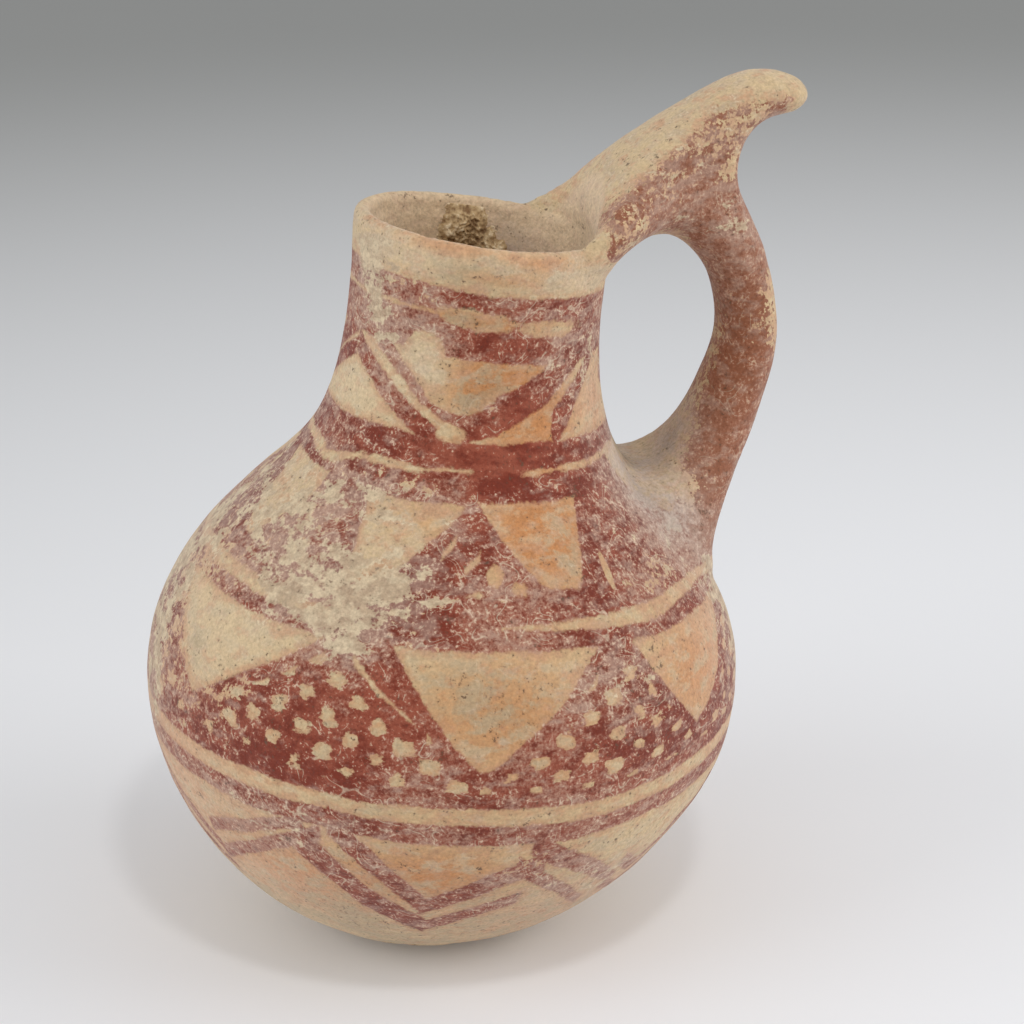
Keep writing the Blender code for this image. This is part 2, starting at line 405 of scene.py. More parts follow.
    def relief(self, height: Socket, deep: float, strength: Value) -> None:
        """Give the shader a fine relief.

        Args:
            height: Where it stands proud, from 0 to 1.
            deep: How deep it is, in millimetres.
            strength: How strongly it shows.
        """
        bump = self.node("ShaderNodeBump")
        self.feed(bump.inputs["Strength"], strength)
        self.feed(bump.inputs["Distance"], deep * MM)
        self.feed(bump.inputs["Height"], height)
        self.feed(self.shader.inputs["Normal"], bump.outputs[0])


@dataclass(frozen=True)
class Coat:
    """A colour that is laid on where a value rises from low to high, with a share at most."""

    colour: Colour
    low: float
    high: float
    share: float = 1.0

    def over(self, graph: Graph, under: object, value: Value, share: Value | None = None) -> Socket:
        """Lay the coat over a colour.

        Args:
            graph: The material's nodes.
            under: The colour below.
            value: What says where it lies.
            share: Its share at most, in place of the coat's own.

        Returns:
            The colour.
        """
        cover = graph.step(value, self.low, self.high)
        cover = graph.times(cover, self.share if share is None else share)
        return graph.mix(cover, under, self.colour)


@dataclass(frozen=True)
class PottedFrame:
    """How the pot's own axis stands in the row frame, in millimetres and degrees.

    The plain side, away from the handle, is where the cosine of the angle from the handle's side
    is below a limit. The levels are the whole heights at which the pot's outline is read.
    """

    lean: float = 5.17
    shift_x: float = -0.82
    shift_z: float = -1.36
    front: float = 105.0
    belly_skew: float = 2.1
    skew_top: float = 38.0
    skew_power: float = 1.5
    rim_tilt: float = 4.0
    tilt_start: float = 47.6
    tilt_end: float = 76.4
    plain_side: float = 0.2
    levels: int = 77

    def straight(self, points: np.ndarray) -> np.ndarray:
        """Turn row-frame points so that the pot's axis is upright.

        Args:
            points: Places in the row frame, in millimetres.

        Returns:
            Places on the upright axis.
        """
        turn = math.radians(self.lean)
        x, z = points[:, 0] - self.shift_x, points[:, 2] - self.shift_z
        return np.column_stack((
            math.cos(turn) * x - math.sin(turn) * z,
            points[:, 1],
            math.sin(turn) * x + math.cos(turn) * z,
        ))

    def leaned(self, points: np.ndarray) -> np.ndarray:
        """Turn points on the upright axis back into the row frame, in metres.

        Args:
            points: Places on the upright axis, in millimetres.

        Returns:
            Places in the row frame, in metres.
        """
        turn = math.radians(self.lean)
        x, z = points[:, 0], points[:, 2]
        return MM * np.column_stack((
            math.cos(turn) * x + math.sin(turn) * z + self.shift_x,
            points[:, 1],
            math.cos(turn) * z - math.sin(turn) * x + self.shift_z,
        ))

    def ring(self, radius: np.ndarray, girth: np.ndarray, height: np.ndarray) -> np.ndarray:
        """Return places on the potter's level rings above the belly, on the upright axis.

        Args:
            radius: Distances from the axis.
            girth: Girth angles in radians.
            height: Heights of the rings.

        Returns:
            Places, one a row.
        """
        angle = girth - math.radians(self.front)
        tilt = math.radians(self.rim_tilt) * smooth_step(height, self.tilt_start, self.tilt_end)
        x = radius * np.cos(angle)
        return np.stack((x, radius * np.sin(angle), height - x * np.tan(tilt)), -1)

    def skew(self, height: np.ndarray) -> np.ndarray:
        """Return how far the belly's rings lie off the axis, in millimetres."""
        below = np.clip(1.0 - height / self.skew_top, 0.0, 1.0)
        return -self.belly_skew * below**self.skew_power

    def girth(self, upright: np.ndarray) -> tuple[np.ndarray, np.ndarray, np.ndarray]:
        """Return each point's place on the pot.

        Height is measured on the potter's level rings: the tilt of the rim and the skew of the
        belly are taken out. The girth angle is 0 at the front and grows to the right.

        Args:
            upright: Places on the upright axis, in millimetres.

        Returns:
            Distance from the axis, girth angle in radians, and height.
        """
        x, y, z = upright.T
        x = x - self.skew(z)
        tilt = math.radians(self.rim_tilt) * smooth_step(z, self.tilt_start, self.tilt_end)
        angle = np.arctan2(y, x) + math.radians(self.front)
        return np.hypot(x, y), (angle + np.pi) % (2.0 * np.pi) - np.pi, z + x * np.tan(tilt)


FRAME = PottedFrame()


@dataclass(frozen=True)
class Patch:
    """A soft patch on the pot: its middle as girth angle and height, its reaches, its strength."""

    girth: float
    height: float
    wide: float
    tall: float
    strength: float

    def amount(self, girth: np.ndarray, height: np.ndarray) -> np.ndarray:
        """Return the patch's strength at each point: a bell curve of the distance in reaches.

        Args:
            girth: Girth angles in degrees.
            height: Heights in millimetres.

        Returns:
            Strengths.
        """
        across = ((girth - self.girth + 180.0) % 360.0 - 180.0) / self.wide
        return self.strength * np.exp(-(across**2) - ((height - self.height) / self.tall) ** 2)


@dataclass(frozen=True)
class Spot:
    """A soft spot on the handle: its middle on the upright axis, its reach and its strength."""

    x: float
    y: float
    height: float
    reach: float
    strength: float

    def amount(self, upright: np.ndarray) -> np.ndarray:
        """Return the spot's strength at each point: a bell curve of the distance in reaches.

        Args:
            upright: Places on the upright axis.

        Returns:
            Strengths.
        """
        away = upright - np.array([self.x, self.y, self.height])
        return self.strength * np.exp(-(away**2).sum(axis=1) / self.reach**2)


@dataclass(frozen=True)
class Stroke:
    """A straight brush stroke: girth angle and height of both ends, and its width at each."""

    start: float
    start_height: float
    end: float
    end_height: float
    across: float
    end_across: float | None = None


@dataclass(frozen=True)
class Wedge:
    """A bare three-cornered field, point down: tip, top corners' angles, top, blunt end."""

    tip: float
    tip_height: float
    left: float
    right: float
    top: float
    blunt: float = 0.0


@dataclass(frozen=True)
class Oval:
    """A small bare oval: its middle, and its half width in degrees and half height."""

    girth: float
    height: float
    wide: float
    tall: float


@dataclass(frozen=True)
class WedgeRow:
    """A row of like wedges: degrees from a tip to the next, one tip, half width, tip, top."""

    period: float
    start: float
    half_width: float
    tip: float
    top: float


@dataclass(frozen=True)
class Zigzag:
    """Parallel zigzag lines beyond the part that is seen.

    The period and the start say where the low points are. Each line is the height of its low
    points, the height of the points between them, and its width.
    """

    period: float
    start: float
    lines: tuple[Place, ...]
    seen: Pair


Shape = Stroke | Wedge | Oval


@dataclass(frozen=True)
class Pattern:
    """The painting's drawing, as depths in millimetres that are above 0 inside a shape.

    The place holds girth angle, height and 1, so that a straight line is one dot product. The
    scale is how many millimetres a degree of girth takes at the frieze that is drawn. The rounds
    are how softly a brush turns each kind of corner, in millimetres, and the cell's numbers are a
    cell's shape as shares of its mesh.
    """

    graph: Graph
    girth: Socket
    height: Socket
    place: Socket
    scale: float
    tip_round: float = 0.7
    top_round: float = 0.25
    blunt_round: float = 0.9
    end_round: float = 0.4
    row_round: float = 0.3
    cell_wide: float = 0.62
    cell_tall: float = 0.50
    cell_reach: float = 0.55
    cell_edge: float = 1.4

    def at(self, scale: float) -> "Pattern":
        """Return the same drawing for a frieze with another scale."""
        return replace(self, scale=scale)

    def level(self, low: float, high: float) -> Socket:
        """Return the depth inside a level band from one height to another."""
        above = self.graph.dot(self.place, (0.0, 1.0, -(low + high) / 2.0))
        return self.graph.minus((high - low) / 2.0, self.graph.size(above))

    def beside(self, start: Pair, end: Pair) -> Socket:
        """Return the distance to the left of the line from start to end.

        Args:
            start: Girth angle and height of one point.
            end: Girth angle and height of another.

        Returns:
            The signed distance in millimetres.
        """
        along, up = (end[0] - start[0]) * self.scale, end[1] - start[1]
        length = math.hypot(along, up)
        slope = (-up / length * self.scale, along / length)
        offset = -(slope[0] * start[0] + slope[1] * start[1])
        return self.graph.dot(self.place, (*slope, offset))

    def within(self, left: float, right: float) -> Socket:
        """Return the depth between two girth angles.

        Args:
            left: The lower angle in degrees.
            right: The higher angle in degrees.

        Returns:
            The depth in millimetres.
        """
        scale = self.scale
        across = self.graph.dot(self.place, (scale, 0.0, -scale * (left + right) / 2.0))
        return self.graph.minus(scale * (right - left) / 2.0, self.graph.size(across))

    def outside(self, left: float, right: float) -> Socket:
        """Return the depth beyond two girth angles, so on the hidden side."""
        return self.graph.times(self.within(left, right), -1.0)

    def wedge(self, shape: Wedge) -> Socket:
        """Return the depth inside a bare three-cornered field, with softened corners.

        Args:
            shape: The field.

        Returns:
            The least of the distances to its sides, in millimetres.
        """
        graph, tip = self.graph, (shape.tip, shape.tip_height)
        left = self.beside((shape.left, shape.top), tip)
        right = self.beside(tip, (shape.right, shape.top))
        sides = graph.rounded(left, right, self.tip_round)
        depth = graph.rounded(sides, graph.minus(shape.top, self.height), self.top_round)
        if shape.blunt:
            lowest = graph.minus(self.height, shape.tip_height + shape.blunt)
            depth = graph.rounded(depth, lowest, self.blunt_round)
        return depth

    def stroke(self, shape: Stroke) -> Socket:
        """Return the depth inside a brush stroke: between its two edges and its two ends.

        Args:
            shape: The stroke.

        Returns:
            The depth in millimetres.
        """
        half = shape.across / 2.0
        end_half = half if shape.end_across is None else shape.end_across / 2.0
        lower = self.beside((shape.start, shape.start_height - half),
                            (shape.end, shape.end_height - end_half))
        upper = self.beside((shape.end, shape.end_height + end_half),
                            (shape.start, shape.start_height + half))
        ends = self.within(shape.start, shape.end)
        return self.graph.rounded(self.graph.least(lower, upper), ends, self.end_round)

    def oval(self, shape: Oval) -> Socket:
        """Return the depth inside an oval: half height times 1 less the distance in half axes.

        Args:
            shape: The oval.

        Returns:
            The depth in millimetres.
        """
        graph = self.graph
        made = graph.node("ShaderNodeVectorMath", operation="MULTIPLY_ADD")
        graph.feed(made.inputs[0], self.place)
        graph.feed(made.inputs[1], (1.0 / shape.wide, 1.0 / shape.tall, 0.0))
        graph.feed(made.inputs[2], (-shape.girth / shape.wide, -shape.height / shape.tall, 0.0))
        away = graph.vector("LENGTH", made.outputs[0], (0.0, 0.0, 0.0), 1)
        return graph.line(away, -shape.tall, shape.tall)

    def net(self, mesh: Pair, cell: Pair, half: Value) -> Socket:
        """Return the depth inside the small bare cells of a slanting net.

        Two families of slanting lines cross. A cell is between round and square in the two
        families' own numbers.

        Args:
            mesh: Degrees from a cell to the next at its height, and millimetres to the next above.
            cell: Girth angle and height of one cell's middle.
            half: A cell's reach as a share of a mesh.

        Returns:
            The depth in millimetres.
        """
        graph = self.graph
        wide, tall = mesh
        rises = []
        for sign in (1.0, -1.0):
            offset = 0.5 - cell[0] / wide - sign * cell[1] / tall
            rises.append(graph.dot(self.place, (1.0 / wide, sign / tall, offset)))
        share = graph.vector("FRACTION", graph.joined(*rises, 0.5), (0.0, 0.0, 0.0))
        share = graph.vector("SUBTRACT", share, (0.5, 0.5, 0.5))
        across = graph.dot(share, (self.cell_wide, self.cell_wide, 0.0))
        up = graph.dot(share, (self.cell_tall, -self.cell_tall, 0.0))
        away = graph.vector("LENGTH", graph.joined(across, up, 0.0), (0.0, 0.0, 0.0), 1)
        box = graph.most(graph.size(across), graph.size(up))
        away = graph.times(graph.plus(away, box), -self.cell_reach)
        return graph.times(graph.plus(half, away), tall * self.cell_edge)

    def folded(self, period: float, start: float) -> Socket:
        """Return how far it is to the nearest of evenly spaced girth angles.

        Args:
            period: Degrees from one angle to the next.
            start: One of them.

        Returns:
            The distance in degrees.
        """
        graph = self.graph
        turn = graph.dot(self.place, (1.0 / period, 0.0, 0.5 - start / period))
        return graph.times(graph.size(graph.minus(graph.math("FRACT", turn), 0.5)), period)

    def zigzag(self, shape: Zigzag) -> Socket:
        """Return the depth inside zigzag lines, on the side that isn't seen.

        Args:
            shape: The lines.

        Returns:
            Half the width less the distance to the nearer line, in millimetres.
        """
        graph = self.graph
        away = self.folded(shape.period, shape.start)
        lines = []
        for low, high, across in shape.lines:
            rise = (high - low) / (shape.period / 2.0)
            off = graph.size(graph.minus(self.height, graph.line(away, rise, low)))
            lines.append(graph.line(off, -1.0 / math.hypot(1.0, rise / self.scale), across / 2.0))
        return graph.least(graph.most(*lines), self.outside(*shape.seen))

    def hanging(self, shape: WedgeRow) -> Socket:
        """Return the depth inside a row of like wedges.

        Args:
            shape: The row.

        Returns:
            The depth in millimetres.
        """
        graph = self.graph
        rise = (shape.top - shape.tip) / shape.half_width
        line = graph.line(self.folded(shape.period, shape.start), rise, shape.tip)
        side = graph.times(graph.minus(self.height, line),
                           1.0 / math.hypot(1.0, rise / self.scale))
        return graph.rounded(side, graph.minus(shape.top, self.height), self.row_round)

    def shapes(self, given: tuple[Shape, ...]) -> Socket:
        """Return the depth inside any of several shapes."""
        kinds = {Stroke: self.stroke, Wedge: self.wedge, Oval: self.oval}
        return self.graph.most(*(kinds[type(shape)](shape) for shape in given))


@dataclass(frozen=True)
class NeckFrieze:
    """Bands and slanting strokes round the neck; zigzag lines beyond the part that is seen."""

    scale: float = 0.23
    zigzag: Zigzag = Zigzag(120.0, 7.0, ((59.0, 67.8, 2.3), (56.8, 65.0, 1.5)), (-60.0, 80.0))
    bands: tuple[Pair, ...] = ((65.5, 72.0), (52.9, 57.8))
    gaps: tuple[Stroke, ...] = (
        Stroke(-180.0, 69.4, -76.0, 69.4, 0.7),
        Stroke(-80.0, 69.5, -17.0, 69.5, 0.5),
        Stroke(86.0, 69.3, 180.0, 69.3, 0.7),
        Stroke(-180.0, 55.0, -60.0, 54.0, 0.6, 0.9),
        Stroke(-62.0, 53.6, -30.5, 54.8, 1.0, 0.7),
        Stroke(-31.0, 54.8, 3.5, 55.1, 0.7, 0.2),
        Stroke(22.0, 55.1, 50.0, 55.4, 0.35, 0.55),
        Stroke(49.0, 55.4, 84.0, 55.5, 0.55, 0.6),
        Stroke(80.0, 55.4, 180.0, 55.0, 0.6),
    )
    ovals: tuple[Oval, ...] = (
        Oval(0.0, 69.5, 18.0, 0.95),
        Oval(38.0, 69.0, 15.0, 0.85),
        Oval(-21.0, 65.2, 10.0, 2.2),
        Oval(-6.0, 58.5, 6.5, 0.9),
    )
    strokes: tuple[Stroke, ...] = (
        Stroke(-4.0, 58.6, 15.0, 60.6, 2.4, 3.4),
        Stroke(11.0, 60.3, 37.0, 63.6, 3.6, 3.8),
        Stroke(34.0, 63.4, 62.0, 67.2, 3.8, 1.8),
        Stroke(37.0, 58.6, 68.0, 66.0, 3.9, 1.7),
        Stroke(-60.0, 64.6, -8.0, 57.0, 2.1, 2.2),
        Stroke(-47.0, 66.4, -19.0, 61.2, 2.4, 1.2),
        Stroke(-21.5, 61.3, -10.0, 60.0, 0.6, 0.9),
        Stroke(-12.0, 60.0, 2.0, 60.0, 0.8, 1.2),
    )

    def draw(self, whole: Pattern, uneven: Socket) -> Socket:
        """Return the depth inside the neck's red.

        Args:
            whole: The drawing.
            uneven: Noise about 0.5 that frays the bare lines.

        Returns:
            The depth in millimetres.
        """
        graph, pattern = whole.graph, whole.at(self.scale)
        bands = (pattern.level(*band) for band in self.bands)
        depth = graph.most(pattern.zigzag(self.zigzag), *bands, pattern.shapes(self.strokes))
        bare = pattern.shapes(self.gaps + self.ovals)
        return graph.cut(depth, graph.plus(graph.minus(uneven, 0.5), bare))


@dataclass(frozen=True)
class ShoulderFrieze:
    """Netted fields and bare wedges on the shoulder; a row of wedges beyond what is seen."""

    scale: float = 0.42
    low: float = 43.9
    high: float = 53.4
    seen: Pair = (-50.0, 92.0)
    row: WedgeRow = WedgeRow(45.0, 27.5, 17.0, 44.9, 52.6)
    mesh: Pair = (360.0 / 37.0, 3.3)
    cell: Pair = (11.0, 47.3)
    wedges: tuple[Wedge, ...] = (
        Wedge(-24.5, 44.2, -31.0, 2.5, 52.3),
        Wedge(28.6, 43.6, 6.0, 41.5, 52.7, 2.3),
    )
    ovals: tuple[Oval, ...] = (
        Oval(10.5, 47.1, 2.2, 0.95),
        Oval(5.8, 45.3, 2.1, 0.6),
        Oval(16.5, 45.9, 1.7, 0.6),
        Oval(41.8, 47.0, 1.1, 1.5),
        Oval(46.5, 45.2, 1.3, 0.6),
    )
    streaks: tuple[Stroke, ...] = (
        Stroke(-4.0, 48.3, -0.5, 49.7, 0.6),
        Stroke(2.5, 47.4, 6.5, 48.7, 0.7),
    )

    def draw(self, whole: Pattern, half: Socket, hidden: Socket) -> Socket:
        """Return the depth inside the shoulder's red.

        Args:
            whole: The drawing.
            half: A net cell's reach as a share of its mesh.
            hidden: Depth on the hidden side, where the net covers every field.

        Returns:
            The depth in millimetres.
        """
        graph, pattern = whole.graph, whole.at(self.scale)
        bare = graph.most(
            graph.least(pattern.net(self.mesh, self.cell, half), hidden),
            graph.least(pattern.hanging(self.row), pattern.outside(*self.seen)),
            pattern.shapes(self.wedges + self.ovals + self.streaks),
        )
        return graph.cut(pattern.level(self.low, self.high), bare)


@dataclass(frozen=True)
class MiddleBands:
    """The red between shoulder and belly, and its bare lines."""

    scale: float = 0.50
    low: float = 41.2
    high: float = 45.5
    gaps: tuple[Stroke, ...] = (
        Stroke(-180.0, 42.9, -74.0, 42.9, 1.1),
        Stroke(-76.0, 43.0, -26.0, 42.7, 1.2, 0.9),
        Stroke(11.0, 43.1, 46.0, 43.2, 0.1, 1.5),
        Stroke(45.0, 43.2, 84.0, 43.7, 1.5, 1.1),
        Stroke(80.0, 43.4, 180.0, 42.9, 1.1),
    )

    def draw(self, whole: Pattern) -> Socket:
        """Return the depth inside the middle bands' red."""
        pattern = whole.at(self.scale)
        return whole.graph.cut(pattern.level(self.low, self.high), pattern.shapes(self.gaps))


@dataclass(frozen=True)
class BellyFrieze:
    """Netted fields and bare wedges round the widest part.

    The net stops at the heights of netted and stays a margin clear of the wedges. On the right of
    the middle wedge it lies a little higher.
    """

    scale: float = 0.53
    low: float = 26.9
    high: float = 41.6
    row: WedgeRow = WedgeRow(360.0 / 7.0, 7.6, 19.0, 31.0, 41.2)
    mesh: Pair = (10.0, 3.25)
    cell: Pair = (-26.3, 35.9)
    netted: Pair = (28.6, 39.6)
    margin: float = 1.3
    raised: float = 0.85
    raised_middle: float = 58.0
    raised_reach: float = 50.0
    wedges: tuple[Wedge, ...] = (
        Wedge(8.2, 30.3, -11.5, 32.5, 41.3, 0.5),
        Wedge(-53.5, 31.4, -72.0, -26.0, 40.8),
        Wedge(56.0, 31.0, 41.0, 79.0, 41.2),
    )
    scars: tuple[Stroke, ...] = (
        Stroke(-19.0, 39.6, -12.0, 36.9, 0.6, 0.5),
        Stroke(-12.5, 37.1, -4.5, 34.8, 0.4, 0.2),
    )

    def draw(self, whole: Pattern, half: Socket, hidden: Socket) -> Socket:
        """Return the depth inside the belly's red.

        Args:
            whole: The drawing.
            half: A net cell's reach as a share of its mesh.
            hidden: Depth on the hidden side, where a row of like wedges takes over.

        Returns:
            The depth in millimetres.
        """
        graph, pattern = whole.graph, whole.at(self.scale)
        fields = graph.most(graph.least(pattern.hanging(self.row), hidden),
                            pattern.shapes(self.wedges + self.scars))
        there = graph.math("COMPARE", pattern.girth, self.raised_middle, self.raised_reach)
        shift = graph.joined(0.0, graph.times(there, self.raised), 0.0)
        raised = replace(pattern, place=graph.vector("SUBTRACT", pattern.place, shift))
        cells = graph.least(
            raised.net(self.mesh, self.cell, half),
            pattern.level(*self.netted),
            graph.minus(-self.margin, fields),
        )
        return graph.cut(pattern.level(self.low, self.high), graph.most(cells, fields))


@dataclass(frozen=True)
class LowerZigzag:
    """The double line that zigzags below the belly, and the level line above it."""

    scale: float = 0.45
    zigzag: Zigzag = Zigzag(
        360.0 / 7.0, 2.0, ((14.0, 22.4, 1.5), (10.8, 19.2, 1.3)), (-50.0, 46.0)
    )
    band: Pair = (22.9, 25.1)
    strokes: tuple[Stroke, ...] = (
        Stroke(-19.0, 24.0, 1.5, 14.0, 3.4, 2.8),
        Stroke(0.5, 13.8, 24.0, 20.4, 2.6, 3.0),
        Stroke(-26.0, 21.6, -12.0, 14.6, 4.4, 3.8),
        Stroke(-13.0, 14.9, 3.5, 10.3, 3.6, 2.4),
        Stroke(2.5, 10.4, 22.0, 15.2, 2.2),
        Stroke(-51.0, 16.9, -24.0, 23.1, 1.7),
        Stroke(-51.0, 13.2, -20.0, 22.2, 1.9),
        Stroke(20.0, 23.0, 48.0, 13.6, 3.0, 1.6),
        Stroke(18.0, 20.2, 42.0, 11.6, 2.4, 1.4),
    )

    def draw(self, whole: Pattern) -> Socket:
        """Return the depth inside the zigzag's red.

        Args:
            whole: The drawing.

        Returns:
            The depth in millimetres.
        """
        pattern = whole.at(self.scale)
        return whole.graph.most(pattern.zigzag(self.zigzag), pattern.level(*self.band),
                                pattern.shapes(self.strokes))


@dataclass(frozen=True)
class Painting:
    """The whole red painting, frieze by frieze.

    Between the angles of hidden the shapes follow the photo, and beyond them they are plain rows.
    To the right the lower friezes fall by up to drift millimetres, and come back behind.
    """

    hidden: Pair = (-84.0, 86.0)
    hidden_scale: float = 0.3
    drift: float = 2.4
    drift_right: Pair = (24.0, 76.0)
    drift_back: Pair = (178.0, 110.0)
    drift_below: Pair = (36.0, 28.0)
    cell_swing: float = 0.9
    cell_least: float = -0.24

    def draw(self, graph: Graph, uneven: Socket) -> Socket:
        """Draw the friezes and lay them together.

        Args:
            graph: The material's nodes.
            uneven: Noise about 0.5 that makes the cells differ.

        Returns:
            Depth inside the red in millimetres.
        """
        across, ahead, height = graph.carried(Carried.PLACE)
        girth = graph.times(graph.math("ARCTAN2", ahead, across), 180.0 / math.pi)
        drift = graph.times(graph.step(girth, *self.drift_right),
                            graph.step(girth, *self.drift_back))
        drift = graph.times(drift, graph.step(height, *self.drift_below))
        height = graph.line(drift, -self.drift, height)
        place = graph.joined(girth, height, 1.0)
        pattern = Pattern(graph, girth, height, place, self.hidden_scale)
        hidden = pattern.outside(*self.hidden)
        half = graph.line(uneven, self.cell_swing, self.cell_least)
        return graph.most(
            NeckFrieze().draw(pattern, uneven),
            ShoulderFrieze().draw(pattern, half, hidden),
            MiddleBands().draw(pattern),
            BellyFrieze().draw(pattern, half, hidden),
            LowerZigzag().draw(pattern),
        )


WARM_SLIP = screen_colour(192, 132, 82)
DULL_RED = screen_colour(118, 42, 20)
PIT = screen_colour(108, 82, 60)
WHITE = screen_colour(212, 192, 166)
DRAWN_OUT = (0.75, 0.75, 1.35)


@dataclass(frozen=True)
class Reading:
    """What the clay's material reads at each point: noises about 0.5, and the mesh's vectors."""

    place: Socket
    broad: Socket
    vein: Socket
    small: Socket
    speck: Socket
    patchy: Socket
    fine: Socket
    thread: Socket
    on_handle: Socket
    grip: Socket
    root: Socket
    wear: Socket
    film: Socket
    dirt_and_shade: Socket
    inside: Socket
    warm: Socket
    pale: Socket
    tone: Socket
    rose: Socket
    stain: Socket

    @classmethod
    def take(cls, graph: Graph) -> "Reading":
        """Read them all once.

        Args:
            graph: The material's nodes.

        Returns:
            The reading. The coarse two noises are drawn out sideways, as a brush and a wheel
            leave them.
        """
        place = graph.own_mm()
        drawn_out = graph.vector("MULTIPLY", place, DRAWN_OUT)
        broad = graph.noise(drawn_out, grain=2.0, detail=4.0, rough=0.62)
        vein = graph.noise(drawn_out, grain=1.35, detail=3.0, rough=0.62)
        small = graph.noise(place, grain=0.75, detail=3.0, rough=0.65)
        speck = graph.noise(place, grain=0.30, detail=2.0, rough=0.6)
        patchy = graph.line(broad, 0.5, graph.times(small, 0.5))
        fine = graph.line(small, 0.6, graph.times(speck, 0.4))
        thread = graph.noise(place, grain=3.2, detail=1.0, rough=0.4)
        return cls(place, broad, vein, small, speck, patchy, fine, thread,
                   *graph.carried(Carried.GRIP), *graph.carried(Carried.STATE),
                   *graph.carried(Carried.TINT), *graph.carried(Carried.TONE))


@dataclass(frozen=True)
class Weights:
    """How much of each noise, and of the pale film, a value holds."""

    broad: float = 0.0
    vein: float = 0.0
    small: float = 0.0
    speck: float = 0.0
    film: float = 0.0

    def total(self, graph: Graph, at: Reading, start: Value = 0.0) -> Socket:
        """Return the weighted sum.

        Args:
            graph: The material's nodes.
            at: What the material reads.
            start: What the sum starts from.

        Returns:
            The sum.
        """
        sockets = (at.broad, at.vein, at.small, at.speck, at.film)
        weights = (self.broad, self.vein, self.small, self.speck, self.film)
        for socket, weight in zip(sockets, weights):
            if weight:
                start = graph.line(socket, weight, start)
        return start


@dataclass(frozen=True)
class BareClay:
    """The clay where no paint lies: slip with warm, rosy, pale and murky parts.

    Beside the red the slip is warmer as a halo, where the vein noise allows it.
    """

    slip: Colour = screen_colour(204, 178, 138)
    warm: Coat = Coat(WARM_SLIP, 0.05, 0.95)
    rose: Colour = screen_colour(204, 158, 128)
    veins: Coat = Coat(WARM_SLIP, 0.50, 0.66, 0.60)
    pale: Colour = screen_colour(214, 192, 158)
    pale_level: Pair = (0.46, 0.64)
    pale_share: float = 0.5
    smudges: Coat = Coat(screen_colour(158, 138, 108), 0.50, 0.68, 0.62)
    specks: Coat = Coat(PIT, 0.385, 0.34, 0.5)
    speck_stain: float = -0.35
    halo: Coat = Coat(screen_colour(190, 142, 104), 0.36, 0.54, 0.6)
    halo_reach: Pair = (-1.1, -0.1)
    wall: Colour = screen_colour(216, 190, 158)
    inner_wall_light_share: float = 0.8

    def colour(self, graph: Graph, at: Reading, depth: Socket) -> Socket:
        """Colour the bare clay.

        Args:
            graph: The material's nodes.
            at: What the material reads.
            depth: Depth inside the red in millimetres.

        Returns:
            The colour.
        """
        colour = self.warm.over(graph, self.slip, at.warm)
        colour = graph.mix(at.rose, colour, self.rose)
        colour = self.veins.over(graph, colour, at.vein)
        light = graph.line(graph.step(at.broad, *self.pale_level), self.pale_share, at.pale)
        colour = graph.mix(light, colour, self.pale)
        colour = self.smudges.over(graph, colour, graph.plus(at.patchy, at.stain))
        colour = self.specks.over(graph, colour, graph.line(at.stain, self.speck_stain, at.fine))
        near = graph.times(graph.step(depth, *self.halo_reach), self.halo.share)
        colour = self.halo.over(graph, colour, at.vein, near)
        # The mouth's inner wall is paler clay, made paler still as painted light on its shaded
        # inside.
        return graph.mix(graph.times(at.inside, self.inner_wall_light_share), colour, self.wall)


@dataclass(frozen=True)
class RedPaint:
    """The paint: clean and dull red, a mauve veil, dark and pale bits.

    A pair of shares holds for the pot and for its handle, where the paint is browner.
    """

    dull: Colour = DULL_RED
    clean: Coat = Coat(screen_colour(150, 76, 54), 0.38, 0.62)
    brown: Colour = screen_colour(152, 98, 68)
    brown_share: float = 0.75
    veil: Coat = Coat(screen_colour(170, 127, 106), 0.45, 0.63)
    veil_noise: Weights = Weights(speck=0.37, small=0.35)
    veil_vein: Pair = (0.28, 0.08)
    veil_handle: float = 0.09
    veil_film: float = 0.18
    veil_film_most: float = 0.35
    veil_share: Pair = (0.80, 0.40)
    dark: Coat = Coat(DULL_RED, 0.40, 0.28, 0.55)
    bits: Coat = Coat(WHITE, 0.54, 0.63)
    bits_noise: Weights = Weights(speck=0.50, broad=0.20, small=0.30, film=0.05)
    bits_share: Pair = (0.52, 0.32)

    def colour(self, graph: Graph, at: Reading) -> Socket:
        """Colour the paint.

        Args:
            graph: The material's nodes.
            at: What the material reads.

        Returns:
            The colour.
        """
        colour = self.clean.over(graph, self.dull, graph.plus(at.broad, at.tone))
        colour = graph.mix(graph.times(at.on_handle, self.brown_share), colour, self.brown)
        tone = graph.line(at.on_handle, self.veil_handle, at.tone)
        veil = self.veil_noise.total(graph, at, tone)
        veil = graph.line(at.vein, graph.between(at.on_handle, *self.veil_vein), veil)
        veil = graph.line(graph.least(at.film, self.veil_film_most), self.veil_film, veil)
        share = graph.between(at.on_handle, *self.veil_share)
        colour = self.veil.over(graph, colour, veil, share)
        colour = self.dark.over(graph, colour, at.speck)
        share = graph.between(at.on_handle, *self.bits_share)
        return self.bits.over(graph, colour, self.bits_noise.total(graph, at), share)


